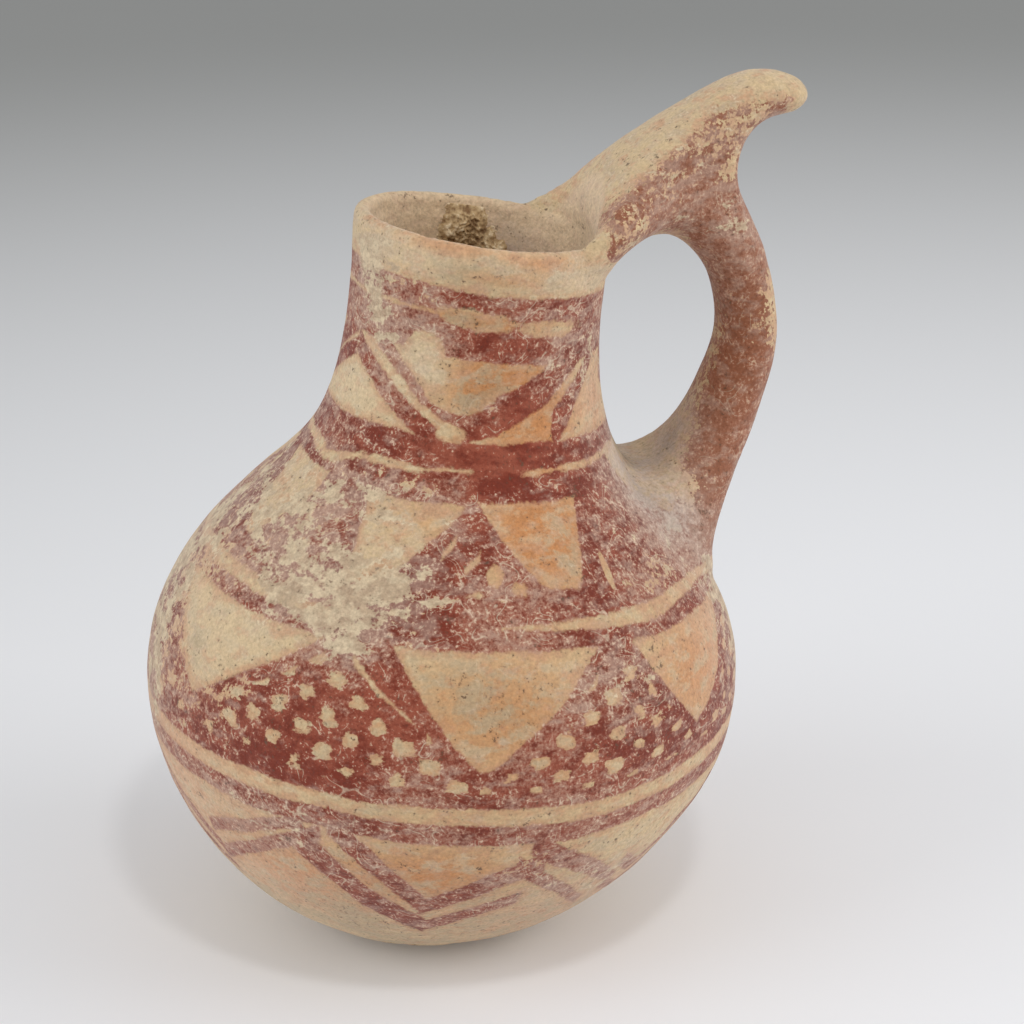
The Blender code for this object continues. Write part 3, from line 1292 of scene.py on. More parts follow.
@dataclass(frozen=True)
class Deposits:
    """What burial left on the clay: a haze, thin root marks, pale crust, soil and pits.

    A share of haze or of root marks holds on bare clay. What film, paint or the handle adds to it
    stands below it. Painted shade lies between the crust's grains, in the gap between handle and
    neck, and finely over all the clay.
    """

    haze: Coat = Coat(screen_colour(194, 168, 150), 0.47, 0.70)
    haze_noise: Weights = Weights(vein=1.0, film=0.22)
    haze_share: float = 0.22
    haze_film: float = 0.10
    haze_paint: float = 0.12
    roots: Coat = Coat(WHITE, 0.010, 0.003)
    root_levels: Pair = (0.45, 0.53)
    root_noise: Weights = Weights(broad=1.0, film=0.12)
    root_places: Pair = (0.47, 0.58)
    root_share: float = 0.20
    root_paint: float = 0.35
    root_handle: float = -0.25
    crust_gap_shade: Colour = screen_colour(182, 158, 130)
    crust: Coat = Coat(screen_colour(208, 188, 156), 0.40, 0.60)
    crust_noise: Weights = Weights(broad=0.66, small=0.22, speck=0.12, film=0.26)
    crust_places: Pair = (0.675, 0.715)
    crust_share: float = 0.88
    grime: Colour = screen_colour(188, 170, 157)
    # Darker grime where the carried dirt is strongest: painted shade in the gap between handle and
    # neck.
    dark_grime_and_shade: Coat = Coat(screen_colour(110, 92, 72), 0.8, 1.6)
    grime_places: Pair = (0.40, 0.60)
    grime_share: Pair = (0.45, 1.0)
    pits: Coat = Coat(PIT, 0.52, 0.47, 0.6)
    pit_thread: float = 0.30
    shadow: Weights = Weights(speck=0.68, small=0.72)
    shadow_start: float = 0.30

    def crusted(self, graph: Graph, at: Reading) -> Socket:
        """Return where pale crust lies, from 0 to 1."""
        return graph.step(self.crust_noise.total(graph, at), *self.crust_places)

    def over(self, graph: Graph, at: Reading, colour: Socket, kept: Socket,
             crusted: Socket) -> Socket:
        """Lay the deposits over the clay's colour.

        Args:
            graph: The material's nodes.
            at: What the material reads.
            colour: The clay's colour.
            kept: Where paint is left, from 0 to 1.
            crusted: Where pale crust lies, from 0 to 1.

        Returns:
            The colour.
        """
        share = graph.line(at.film, self.haze_film, self.haze_share)
        share = graph.line(kept, self.haze_paint, share)
        colour = self.haze.over(graph, colour, self.haze_noise.total(graph, at), share)

        share = graph.line(kept, self.root_paint, self.root_share)
        share = graph.line(at.on_handle, self.root_handle, share)
        places = graph.step(self.root_noise.total(graph, at), *self.root_places)
        ridge = graph.least(*(graph.size(graph.minus(at.thread, level))
                              for level in self.root_levels))
        colour = self.roots.over(graph, colour, ridge, graph.times(places, share))

        # The crust is mottled: its darker gaps between grains are partly painted shade.
        crust = self.crust.over(graph, self.crust_gap_shade, at.vein)
        colour = graph.mix(graph.times(crusted, self.crust_share), colour, crust)

        # Grime where the mesh carries it, and a darker grime where it is strongest, which is
        # painted shade in the gap between handle and neck.
        share = graph.between(graph.step(at.patchy, *self.grime_places), *self.grime_share)
        share = graph.times(graph.least(at.dirt_and_shade, 1.0), share)
        colour = graph.mix(share, colour, self.dark_grime_and_shade.over(graph, self.grime, at.dirt_and_shade))

        colour = self.pits.over(graph, colour, graph.line(at.thread, self.pit_thread, at.fine))
        # Painted fine shade between the grains: a noisy darkening of the whole colour.
        shadow = self.shadow.total(graph, at, self.shadow_start)
        return graph.vector("SCALE", colour, shadow)


@dataclass(frozen=True)
class ClayFinish:
    """Slipped clay with worn red painting, and what burial left on it.

    A pair of frays holds for the pot and for its handle: how far the painting's edges swing.
    """

    handle_edge: Pair = (0.35, 0.65)
    frays: Pair = (0.90, 4.00)
    soft_edge: float = 0.17
    flake_level: float = 0.70
    flake_wear: float = -0.24
    flake_edge: float = 0.02
    handle_fleck: float = 0.45
    roughness: float = 0.74
    gloss: float = 0.20
    sheen: float = 0.16
    sheen_roughness: float = 0.6
    relief: float = 0.22
    relief_share: Pair = (0.7, 1.0)

    def material(self) -> bpy.types.Material:
        """Build the clay's material.

        Returns:
            The material.
        """
        graph = Graph("painted_clay")
        at = Reading.take(graph)
        depth = self.depth(graph, at)
        kept = self.kept(graph, at, depth)
        bare = BareClay().colour(graph, at, depth)
        colour = graph.mix(kept, bare, RedPaint().colour(graph, at))
        deposits = Deposits()
        crusted = deposits.crusted(graph, at)
        colour = deposits.over(graph, at, colour, kept, crusted)
        graph.surface(colour, self.roughness, self.gloss)
        graph.feed(graph.shader.inputs["Sheen Weight"], self.sheen)
        graph.feed(graph.shader.inputs["Sheen Roughness"], self.sheen_roughness)
        graph.relief(graph.noise(at.place, grain=0.7, detail=2.0, rough=0.65), self.relief,
                     graph.between(crusted, *self.relief_share))
        return graph.material

    def depth(self, graph: Graph, at: Reading) -> Socket:
        """Return the depth inside the red, with frayed edges.

        Args:
            graph: The material's nodes.
            at: What the material reads.

        Returns:
            The depth in millimetres.
        """
        depth = graph.least(Painting().draw(graph, at.broad), at.root)
        depth = graph.blend(graph.step(at.on_handle, *self.handle_edge), depth, at.grip)
        frays = graph.between(at.on_handle, *self.frays)
        return graph.line(graph.minus(at.small, 0.5), frays, depth)

    def kept(self, graph: Graph, at: Reading, depth: Socket) -> Socket:
        """Return where paint is left, from 0 to 1: inside the red, and not flaked off.

        Args:
            graph: The material's nodes.
            at: What the material reads.
            depth: Depth inside the red in millimetres.

        Returns:
            The share.
        """
        covered = graph.step(depth, -self.soft_edge, self.soft_edge)
        limit = graph.line(at.wear, self.flake_wear, self.flake_level)
        share = graph.times(at.on_handle, self.handle_fleck)
        fleck = graph.blend(share, at.patchy, at.fine)
        flaked = graph.step(fleck, graph.minus(limit, self.flake_edge),
                            graph.plus(limit, self.flake_edge))
        return graph.times(covered, graph.minus(1.0, graph.most(flaked, at.inside)))


@dataclass(frozen=True)
class Ripple:
    """One smooth noise: how strong it is, how wide its lumps are, and its seed."""

    strength: float
    grain: float
    seed: int

    def at(self, points: np.ndarray) -> np.ndarray:
        """Return the noise at each point."""
        return self.strength * lattice_noise(points, self.grain, self.seed)


@dataclass(frozen=True)
class Survey:
    """Where each point of the clay lies on the pot and which way it faces.

    The turn is the angle from the handle's side. The plain side is the one without a handle.
    """

    upright: np.ndarray
    facing: np.ndarray
    radius: np.ndarray
    girth: np.ndarray
    height: np.ndarray

    @classmethod
    def take(cls, points: np.ndarray, normals: np.ndarray) -> "Survey":
        """Measure every point.

        Args:
            points: Places in millimetres.
            normals: Outward directions.

        Returns:
            The survey.
        """
        upright = FRAME.straight(points)
        facing = FRAME.straight(normals) - FRAME.straight(np.zeros((1, 3)))
        return cls(upright, facing, *FRAME.girth(upright))

    @property
    def turn(self) -> np.ndarray:
        """Return each point's angle from the handle's side, in radians."""
        return self.girth - math.radians(FRAME.front)

    @property
    def plain(self) -> np.ndarray:
        """Return which points are on the plain side."""
        return np.cos(self.turn) < FRAME.plain_side

    def beyond(self) -> np.ndarray:
        """Measure how far each point is outside the pot's wall, as read on the plain side.

        Returns:
            Distances in millimetres, above 0 on the handle.
        """
        levels = np.arange(FRAME.levels, dtype=float)
        index = np.clip(np.round(self.height), 0, len(levels) - 1).astype(int)
        widest = np.zeros(len(levels))
        np.maximum.at(widest, index[self.plain], self.radius[self.plain])
        return self.radius - np.interp(self.height, levels, widest)


@dataclass(frozen=True)
class Evening:
    """Takes the flat facets out of the pot's rings and keeps its profile.

    The pot is round about its axis, so its outer wall, inner wall and lip each have one mean
    profile. A point of a wall moves to the mean distance from the axis at its height, and a
    point of the lip to the mean distance from the lip's middle at its slope. The handle keeps
    its form. Lengths are in millimetres.
    """

    lip: Pair = (12.0, 75.2)
    lip_blend: float = 0.8
    facing: float = 0.2
    outer_low: float = 3.0
    inner_least: float = 6.0
    wall_bin: float = 0.5
    lip_bin: float = 0.1
    handle_edge: Pair = (0.1, 0.7)
    rim_margin: float = 0.3
    most: float = 0.25

    def apply(self, points: np.ndarray, normals: np.ndarray) -> np.ndarray:
        """Move the points.

        Args:
            points: Places in millimetres.
            normals: Outward directions.

        Returns:
            The new places, in millimetres.
        """
        at = Survey.take(points, normals)
        across, along = np.cos(at.turn), np.sin(at.turn)
        out = at.facing[:, 0] * across + at.facing[:, 1] * along
        outer = (out > self.facing) & (at.height > self.outer_low)
        inner = (out < -self.facing) & (at.radius > self.inner_least)
        aside = np.zeros(len(points))
        for wall in (outer, inner):
            mean = self.mean_profile(at.height, at.radius, wall & at.plain, self.wall_bin)
            aside[wall] = (mean - at.radius)[wall]

        middle, lip_height = self.lip
        slope = np.arctan2(at.height - lip_height, at.radius - middle)
        reach = np.hypot(at.radius - middle, at.height - lip_height)
        mean = self.mean_profile(slope, reach, at.plain & (at.height > lip_height), self.lip_bin)
        foot = lip_height - self.lip_blend
        moved = np.where(at.height > foot, mean - reach, 0.0)
        on_lip = smooth_step(at.height, foot, lip_height)
        aside = aside * (1.0 - on_lip) + moved * np.cos(slope) * on_lip
        up = moved * np.sin(slope) * on_lip

        off_pot = np.maximum(at.beyond(), at.height - FRAME.tilt_end - self.rim_margin)
        share = 1.0 - smooth_step(off_pot, *self.handle_edge)
        aside, up = (np.clip(part, -self.most, self.most) * share for part in (aside, up))
        return FRAME.leaned(at.upright + np.column_stack((aside * across, aside * along, up))) / MM

    @staticmethod
    def mean_profile(place: np.ndarray, value: np.ndarray, chosen: np.ndarray,
                     width: float) -> np.ndarray:
        """Return the mean value of the chosen points at each point's place.

        Args:
            place: Where each point is along the profile.
            value: What is averaged.
            chosen: Which points count.
            width: Width of a bin along the profile.

        Returns:
            Mean values, read between the bins' middles.
        """
        number = np.floor(place / width).astype(int)
        number -= number[chosen].min()
        bins = number[chosen].max() + 1
        count = np.bincount(number[chosen], minlength=bins)
        total = np.bincount(number[chosen], value[chosen], minlength=bins)
        where = np.bincount(number[chosen], place[chosen], minlength=bins)
        full = count > 0
        return np.interp(place, where[full] / count[full], total[full] / count[full])


@dataclass(frozen=True)
class HandlePaint:
    """The red on the handle, and the bare field round its lower root.

    The red stops short of the handle's inner face, of the worn top of arm and spur, and of the
    rim. Lengths are millimetres on the upright axis: x to the handle's side, y back and z up.
    """

    path: tuple[Pair, ...] = (
        (6.0, 74.0), (11.6, 78.2), (16.4, 80.3), (20.7, 79.8), (23.8, 77.6), (26.3, 74.6),
        (28.1, 71.1), (29.7, 65.3), (28.2, 60.2), (26.4, 53.5), (22.8, 46.5),
    )
    inner_margin: float = 3.5
    top_across: float = 0.683
    top_up: float = -0.730
    top_at: Pair = (10.2, 79.6)
    crest: float = 0.30
    crest_half: float = 8.0
    crest_most: float = 6.0
    crest_heights: Pair = (72.0, 76.0)
    crest_ends: Pair = (26.0, 20.0)
    spur_top: float = 89.3
    spur_slope: float = 0.12
    spur_at: float = 22.0
    tip: Pair = (29.5, 84.0)
    start: float = 10.0
    loop: tuple[Pair, ...] = ((46.9, 19.9), (52.3, 20.2), (58.2, 22.8), (64.4, 24.6))
    loop_open: float = 9.0
    root_near: float = 10.0
    root_half: float = 8.8
    root_heights: Pair = (44.4, 55.5)

    def outward(self, x: np.ndarray, z: np.ndarray) -> np.ndarray:
        """Return how far outside the handle's path each point lies.

        Args:
            x: Distances to the handle's side.
            z: Heights.

        Returns:
            Signed distances from the nearest stretch of the path.
        """
        path = np.array(self.path)
        best, outer = np.full(len(x), np.inf), np.zeros(len(x))
        for start, end in zip(path, path[1:]):
            way = end - start
            length = np.hypot(*way)
            share = ((x - start[0]) * way[0] + (z - start[1]) * way[1]) / length**2
            share = np.clip(share, 0.0, 1.0)
            away_x, away_z = x - start[0] - share * way[0], z - start[1] - share * way[1]
            distance = np.hypot(away_x, away_z)
            nearer = distance < best
            best = np.where(nearer, distance, best)
            outer = np.where(nearer, (-away_x * way[1] + away_z * way[0]) / length, outer)
        return outer

    def depth(self, upright: np.ndarray) -> np.ndarray:
        """Return how deep inside the handle's red each point lies.

        Args:
            upright: Places on the upright axis.

        Returns:
            Depths, the least of the distances to the red's limits.
        """
        x, y, z = upright.T
        crest = self.crest * np.clip(self.crest_half - np.abs(y), 0.0, self.crest_most)
        crest = crest * smooth_step(z, *self.crest_heights) * smooth_step(x, *self.crest_ends)
        top = self.top_across * (x - self.top_at[0]) + self.top_up * (z - self.top_at[1]) - crest
        loop_heights, loop_edges = zip(*self.loop)
        loop_edge = np.interp(z, loop_heights, loop_edges)
        return np.minimum.reduce([
            self.outward(x, z) + self.inner_margin,
            top,
            self.spur_top - z + self.spur_slope * (x - self.spur_at),
            self.tip[0] - x + np.maximum(0.0, self.tip[1] - z),
            x - self.start,
            np.where(z < loop_heights[-1], x - loop_edge, self.loop_open),
        ])

    def off_root(self, at: Survey) -> np.ndarray:
        """Return how far outside the bare field round the handle's root each point lies.

        Args:
            at: Where the points lie.

        Returns:
            Distances in millimetres, below 0 inside the field.
        """
        low, high = self.root_heights
        return np.maximum.reduce([
            np.abs(at.upright[:, 1]) - self.root_half,
            self.root_near - at.upright[:, 0],
            low - at.height,
            at.height - high,
        ])


@dataclass(frozen=True)
class Weathering:
    """Where making, use and burial marked the clay, round the pot and on its handle.

    Some of the marks also paint shade and sheen.
    """

    rose: tuple[Patch, ...] = (
        Patch(-62.0, 24.0, 26.0, 9.0, 0.75),
        Patch(-30.0, 13.0, 30.0, 5.0, 0.55),
        Patch(-80.0, 36.0, 14.0, 12.0, 0.55),
        Patch(72.0, 36.0, 14.0, 10.0, 0.75),
        Patch(40.0, 11.0, 30.0, 5.0, 0.65),
        Patch(-10.0, 76.0, 60.0, 1.2, 0.30),
        Patch(40.0, 74.0, 30.0, 2.0, 0.20),
        Patch(68.0, 61.0, 14.0, 5.0, 0.75),
        Patch(150.0, 40.0, 50.0, 12.0, 0.35),
        Patch(-150.0, 20.0, 50.0, 12.0, 0.35),
    )
    stain: tuple[Patch, ...] = (
        Patch(10.0, 62.5, 10.0, 2.5, 0.60),
        Patch(-4.0, 73.4, 18.0, 1.4, 0.60),
        Patch(-4.0, 69.3, 12.0, 1.2, 0.80),
        Patch(-25.0, 33.0, 30.0, 6.0, 0.30),
        # The next two patches darken the clay towards the bottom.
        Patch(5.0, 37.0, 12.0, 3.0, 0.55),
        Patch(0.0, 9.0, 70.0, 5.0, 0.75),
        Patch(10.0, 17.0, 30.0, 4.0, 0.35),
        Patch(-58.0, 36.0, 12.0, 4.0, 0.30),
        Patch(2.0, 61.5, 7.0, 2.0, 0.50),
    )
    warm: tuple[Patch, ...] = (
        Patch(10.0, 63.0, 26.0, 4.0, 0.95),
        Patch(32.0, 60.0, 24.0, 6.0, 0.80),
        Patch(26.0, 50.0, 20.0, 5.0, 1.0),
        Patch(-12.0, 51.0, 16.0, 2.6, 0.45),
        Patch(12.0, 36.0, 24.0, 7.0, 0.68),
        Patch(58.0, 37.0, 16.0, 6.0, 0.75),
        Patch(-25.0, 16.0, 22.0, 5.0, 0.70),
        Patch(4.0, 18.0, 14.0, 4.0, 0.55),
        Patch(6.0, 22.0, 40.0, 8.0, 0.30),
        Patch(0.0, 69.3, 40.0, 1.0, 0.80),
        Patch(-15.0, 75.9, 26.0, 0.9, 0.70),
        Patch(34.0, 75.4, 22.0, 0.9, 0.75),
        Patch(8.0, 73.6, 26.0, 0.8, 0.70),
        Patch(-32.0, 72.8, 16.0, 0.7, 0.50),
    )
    pale: tuple[Patch, ...] = (
        Patch(-55.0, 61.0, 26.0, 5.0, 0.55),
        Patch(-55.0, 38.0, 22.0, 5.0, 0.35),
        Patch(-24.0, 64.0, 12.0, 2.6, 0.60),
        Patch(-30.0, 74.0, 40.0, 1.6, 0.40),
        Patch(58.0, 73.6, 20.0, 1.6, 0.70),
        # The last patch pales the clay at the pot's left outer edge: dust, and painted sheen where
        # the surface turns away.
        Patch(-84.0, 40.0, 12.0, 12.0, 0.60),
    )
    wear: tuple[Patch, ...] = (
        Patch(-50.0, 48.5, 20.0, 5.0, 0.62),
        Patch(-14.0, 44.5, 13.0, 4.2, 0.55),
        Patch(-22.0, 65.0, 12.0, 2.0, 0.95),
        Patch(-40.0, 71.0, 22.0, 1.6, 0.55),
        Patch(-70.0, 42.0, 16.0, 5.0, 0.55),
        Patch(-44.0, 33.0, 10.0, 4.0, 0.60),
        Patch(-66.0, 33.0, 12.0, 6.0, 0.60),
        Patch(60.0, 45.5, 16.0, 2.2, 0.50),
        Patch(-14.0, 53.8, 28.0, 1.2, 0.45),
        Patch(20.0, 21.0, 9.0, 3.0, 0.45),
        # The last patch wears the paint at the pot's left outer edge, showing dust and painted
        # sheen there.
        Patch(-84.0, 42.0, 10.0, 14.0, 0.50),
    )
    film: tuple[Patch, ...] = (
        Patch(-54.0, 48.0, 22.0, 6.0, 0.80),
        Patch(-16.0, 45.0, 14.0, 4.2, 0.82),
        Patch(-30.0, 45.5, 16.0, 3.0, 0.30),
        Patch(-34.0, 42.5, 12.0, 2.6, 0.66),
        Patch(-21.0, 40.2, 5.0, 2.2, 0.75),
        Patch(-24.0, 52.0, 24.0, 1.6, 0.66),
        Patch(-72.0, 30.0, 8.0, 9.0, 0.70),
        Patch(-58.0, 71.5, 14.0, 3.0, 0.75),
        # The next two patches lay pale film on the pot's outer edges, left and right: dust, and
        # painted sheen where the surface turns away.
        Patch(-86.0, 40.0, 14.0, 14.0, 0.90),
        Patch(90.0, 38.0, 16.0, 16.0, 0.95),
        Patch(-30.0, 66.0, 26.0, 3.0, 0.66),
        Patch(-50.0, 70.0, 12.0, 4.0, 0.55),
        Patch(-45.0, 74.5, 30.0, 2.0, 0.60),
        Patch(40.0, 74.5, 30.0, 1.6, 0.60),
        Patch(60.0, 66.0, 22.0, 5.0, 0.60),
        Patch(58.0, 47.0, 20.0, 4.0, 0.34),
        Patch(70.0, 52.0, 14.0, 4.0, 0.20),
        Patch(36.0, 38.0, 14.0, 4.0, 0.50),
        Patch(-30.0, 22.0, 20.0, 3.0, 0.50),
        Patch(40.0, 16.0, 20.0, 4.0, 0.60),
        Patch(10.0, 56.5, 26.0, 2.6, -0.9),
        Patch(24.0, 60.0, 12.0, 2.5, -0.8),
        Patch(4.0, 67.0, 22.0, 1.6, -0.5),
        Patch(-10.0, 36.0, 16.0, 4.0, -0.5),
        Patch(-24.0, 30.0, 14.0, 4.0, -0.4),
        Patch(24.0, 32.0, 10.0, 3.0, -0.4),
        Patch(20.0, 47.0, 16.0, 3.0, 0.15),
        Patch(160.0, 46.0, 30.0, 5.0, 0.70),
        Patch(-140.0, 34.0, 22.0, 5.0, 0.70),
    )
    # Patches that darken the inner wall of the mouth beside and below the soil.
    mouth_darkening: tuple[Patch, ...] = (
        Patch(165.0, 70.0, 22.0, 4.0, 0.75),
        Patch(140.0, 68.0, 22.0, 4.0, 0.55),
    )
    # Spots of pale grime round the handle's lower root. The strongest, in the gap between handle
    # and neck, lay a darker grime there that is painted shade.
    dirt_and_shade: tuple[Spot, ...] = (
        Spot(12.5, -6.0, 52.0, 4.2, 0.70),
        Spot(16.5, -7.5, 49.5, 4.6, 0.75),
        Spot(20.5, -8.0, 47.2, 4.4, 0.70),
        Spot(13.5, -1.5, 54.5, 3.2, 1.2),
        Spot(17.5, -1.5, 54.2, 3.4, 1.35),
        Spot(20.5, -0.5, 56.0, 3.6, 1.3),
        Spot(14.0, 8.5, 51.0, 6.0, 0.45),
        Spot(18.5, 8.5, 49.5, 6.5, 0.45),
    )
    grip_wear: tuple[Spot, ...] = (
        Spot(12.0, -8.5, 77.0, 4.0, 0.60),
        Spot(16.0, -6.0, 82.0, 4.5, 0.42),
        Spot(21.0, -4.0, 87.0, 4.5, 0.50),
        Spot(26.0, -3.0, 88.5, 3.5, 0.55),
        Spot(14.0, 7.0, 79.0, 6.0, 0.45),
        Spot(22.0, 4.0, 87.0, 5.0, 0.45),
        Spot(11.5, 6.5, 79.5, 4.5, 0.90),
        Spot(24.2, -4.0, 83.0, 1.4, 0.9),
        Spot(30.6, -2.5, 71.0, 3.0, 0.95),
        Spot(31.0, -2.0, 66.5, 2.8, 0.85),
        Spot(22.1, -6.9, 50.7, 2.2, 1.0),
        Spot(26.0, 4.0, 80.0, 5.0, 0.45),
        Spot(28.0, 4.0, 58.0, 5.0, 0.45),
    )
    tone: tuple[Ripple, ...] = (Ripple(0.10, 9.0, 41), Ripple(0.06, 4.0, 42))
    clouds: Ripple = Ripple(0.05, 7.0, 43)
    stain_share: float = 0.2
    least_wear: float = 0.18
    grip_film: float = 0.08
    arm_film: float = 0.30
    arm_heights: Pair = (66.0, 78.0)

    def write(self, mesh: bpy.types.Mesh, at: Survey, on_handle: np.ndarray,
              inside: np.ndarray) -> None:
        """Write the marks onto the mesh.

        Args:
            mesh: The finer mesh.
            at: Where its points lie.
            on_handle: 1 on the handle.
            inside: 1 inside the mouth.
        """
        on_pot = 1.0 - on_handle
        Carried.TONE.write(mesh, (
            sum(ripple.at(at.upright) for ripple in self.tone),
            self.round_pot(self.rose, at) * on_pot,
            self.clouds.at(at.upright) + self.round_pot(self.stain, at) * self.stain_share,
        ))
        arm = smooth_step(at.upright[:, 2], *self.arm_heights)
        grip_wear = np.minimum(self.round_grip(self.grip_wear, at), 1.0)
        Carried.STATE.write(mesh, (
            self.round_pot(self.wear, at) * on_pot + grip_wear + self.least_wear,
            self.round_pot(self.film, at) * on_pot
            + on_handle * (self.grip_film + self.arm_film * arm),
            self.round_grip(self.dirt_and_shade, at) + inside * self.round_pot(self.mouth_darkening, at),
        ))
        Carried.TINT.write(mesh, (
            inside,
            self.round_pot(self.warm, at) * on_pot,
            self.round_pot(self.pale, at) * on_pot,
        ))

    @staticmethod
    def round_pot(patches: tuple[Patch, ...], at: Survey) -> np.ndarray:
        """Return the sum of patches on the pot, held to 1."""
        degrees = np.degrees(at.girth)
        return np.minimum(sum(patch.amount(degrees, at.height) for patch in patches), 1.0)

    @staticmethod
    def round_grip(spots: tuple[Spot, ...], at: Survey) -> np.ndarray:
        """Return the sum of spots on the handle, held to 2."""
        return np.minimum(sum(spot.amount(at.upright) for spot in spots), 2.0)


@dataclass(frozen=True)
class JugBody:
    """The jug's clay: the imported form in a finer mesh, with the marks of hand and burial.

    Lengths are in millimetres. The marks press the surface in by up to twice their strength, and
    the pores by up to theirs. The hand is the painter's: how unsteadily it holds a line.
    """

    node: str = "jug"
    merge: float = 0.001
    face_bend: float = 0.7
    face_skew: float = 1.2
    rounding: int = 2
    voxel: float = 0.6
    smoothing: int = 5
    softness: float = 0.5
    marks: tuple[Ripple, ...] = (Ripple(0.10, 9.0, 1), Ripple(0.05, 3.4, 2), Ripple(0.02, 1.3, 3))
    pores: Ripple = Ripple(1.0, 1.5, 5)
    pore: float = 0.10
    pore_level: float = 0.45
    pore_slope: float = 0.4
    wobble: float = 0.24
    hand_around: tuple[Ripple, ...] = (Ripple(1.0, 4.6, 31), Ripple(0.5, 2.1, 32))
    hand_up: tuple[Ripple, ...] = (Ripple(1.0, 4.6, 35), Ripple(0.5, 2.1, 36))
    hand_least_radius: float = 5.0
    handle_gap: float = 0.6
    rim_gap: float = 0.4
    handle_blend: float = 1.4
    handle_start: float = 3.0
    inward_facing: Pair = (-0.1, 0.35)
    inward_depth: Pair = (-0.7, -1.3)

    def build(self) -> bpy.types.Object:
        """Make the clay and dress it.

        Returns:
            The jug's object.
        """
        mesh = self.finer_mesh(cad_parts[self.node])
        points, normals = (self.vectors(mesh, name) for name in ("co", "normal"))
        points = self.worn(Evening().apply(points / MM, normals), normals)
        mesh.vertices.foreach_set("co", (points * MM).ravel())
        mesh.update()
        self.carry(mesh, Survey.take(points, normals))
        mesh.shade_smooth()
        item = placed("painted_jug", mesh)
        mesh.materials.clear()
        mesh.materials.append(ClayFinish().material())
        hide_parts(self.node)
        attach(item, "root")
        return item

    def finer_mesh(self, node: bpy.types.Object) -> bpy.types.Mesh:
        """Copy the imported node's mesh, merge it, round its facets off and remesh it evenly.

        Args:
            node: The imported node's object.

        Returns:
            The finer mesh.
        """
        copy = placed("clay_work", node.data.copy())
        shape = bmesh.new()
        shape.from_mesh(copy.data)
        bmesh.ops.remove_doubles(shape, verts=shape.verts, dist=self.merge * MM)
        bmesh.ops.join_triangles(shape, faces=shape.faces, angle_face_threshold=self.face_bend,
                                 angle_shape_threshold=self.face_skew)
        shape.to_mesh(copy.data)
        shape.free()
        rounded = copy.modifiers.new("rounded", "SUBSURF")
        rounded.levels = rounded.render_levels = self.rounding
        even = copy.modifiers.new("even", "REMESH")
        even.mode = "VOXEL"
        even.voxel_size = self.voxel * MM
        soft = copy.modifiers.new("soft", "SMOOTH")
        soft.factor = self.softness
        soft.iterations = self.smoothing
        evaluated = copy.evaluated_get(bpy.context.evaluated_depsgraph_get())
        made = bpy.data.meshes.new_from_object(evaluated)
        bpy.data.objects.remove(copy, do_unlink=True)
        return made

    @staticmethod
    def vectors(mesh: bpy.types.Mesh, name: str) -> np.ndarray:
        """Read one vector of every point of a mesh.

        Args:
            mesh: The mesh.
            name: The vector's name.

        Returns:
            The vectors, one a row.
        """
        values = np.empty(len(mesh.vertices) * 3)
        mesh.vertices.foreach_get(name, values)
        return values.reshape(-1, 3)

    def worn(self, points: np.ndarray, normals: np.ndarray) -> np.ndarray:
        """Move the surface by the hand's waves, small dents and pores, inwards only.

        Args:
            points: Places in millimetres.
            normals: Outward directions.

        Returns:
            The new places, in millimetres.
        """
        inward = sum(mark.strength + mark.at(points) for mark in self.marks)
        deep = np.clip(self.pores.at(points) - self.pore_level, 0.0, self.pore_slope)
        inward = inward + self.pore * deep / self.pore_slope
        moved = points - normals * inward[:, None]
        moved[:, 2] = np.maximum(moved[:, 2], 0.0)
        return moved

    def carry(self, mesh: bpy.types.Mesh, at: Survey) -> None:
        """Write the vectors that the material reads onto the mesh.

        Args:
            mesh: The finer mesh.
            at: Where its points lie.
        """
        x, y, _ = at.upright.T
        beyond = at.beyond()
        off_pot = np.maximum(beyond - self.handle_gap, at.height - FRAME.tilt_end - self.rim_gap)
        on_handle = smooth_step(off_pot, 0.0, self.handle_blend) * (x > self.handle_start)
        inward = -(at.facing[:, 0] * x + at.facing[:, 1] * y) / np.maximum(at.radius, 0.1)
        inside = smooth_step(inward, *self.inward_facing) * smooth_step(beyond, *self.inward_depth)
        around, up = (self.wobble * sum(ripple.at(at.upright) for ripple in hand)
                      for hand in (self.hand_around, self.hand_up))
        drawn = at.girth + around / np.maximum(at.radius, self.hand_least_radius)
        Carried.PLACE.write(mesh, (at.radius * np.cos(drawn), at.radius * np.sin(drawn),
                                   at.height + up))
        handle = HandlePaint()
        Carried.GRIP.write(mesh, (on_handle, handle.depth(at.upright), handle.off_root(at)))
        Weathering().write(mesh, at, on_handle, inside)


@dataclass(frozen=True)
class SoilFinish:
    """Dry crumbly soil, coloured by the crumbs' height.

    The soil's own colour lies on the crumbs, painted shade darkens the low places between them and
    painted light pales their tops.
    """

    gap_shade: Colour = screen_colour(138, 108, 78)
    grain: Coat = Coat(screen_colour(196, 168, 128), -0.65, 0.15)
    lit_crumb_tops: Coat = Coat(screen_colour(236, 216, 182), 0.05, 0.75)
    grit: float = 1.2
    roughness: float = 0.95
    gloss: float = 0.1
    relief: float = 0.1
    relief_share: float = 0.8

    def material(self) -> bpy.types.Material:
        """Build the soil's material.

        Returns:
            The material.
        """
        graph = Graph("dry_soil")
        crumb, _, _ = graph.carried(Carried.CRUMB)
        fine = graph.noise(graph.own_mm(), grain=0.22, detail=3.0, rough=0.7)
        height = graph.line(graph.minus(fine, 0.5), self.grit, crumb)
        # Darker low in the crumbs as painted shade, paler on their tops as painted light.
        colour = self.grain.over(graph, self.gap_shade, height)
        colour = self.lit_crumb_tops.over(graph, colour, height)
        graph.surface(colour, self.roughness, self.gloss)
        graph.relief(fine, self.relief, self.relief_share)
        return graph.material


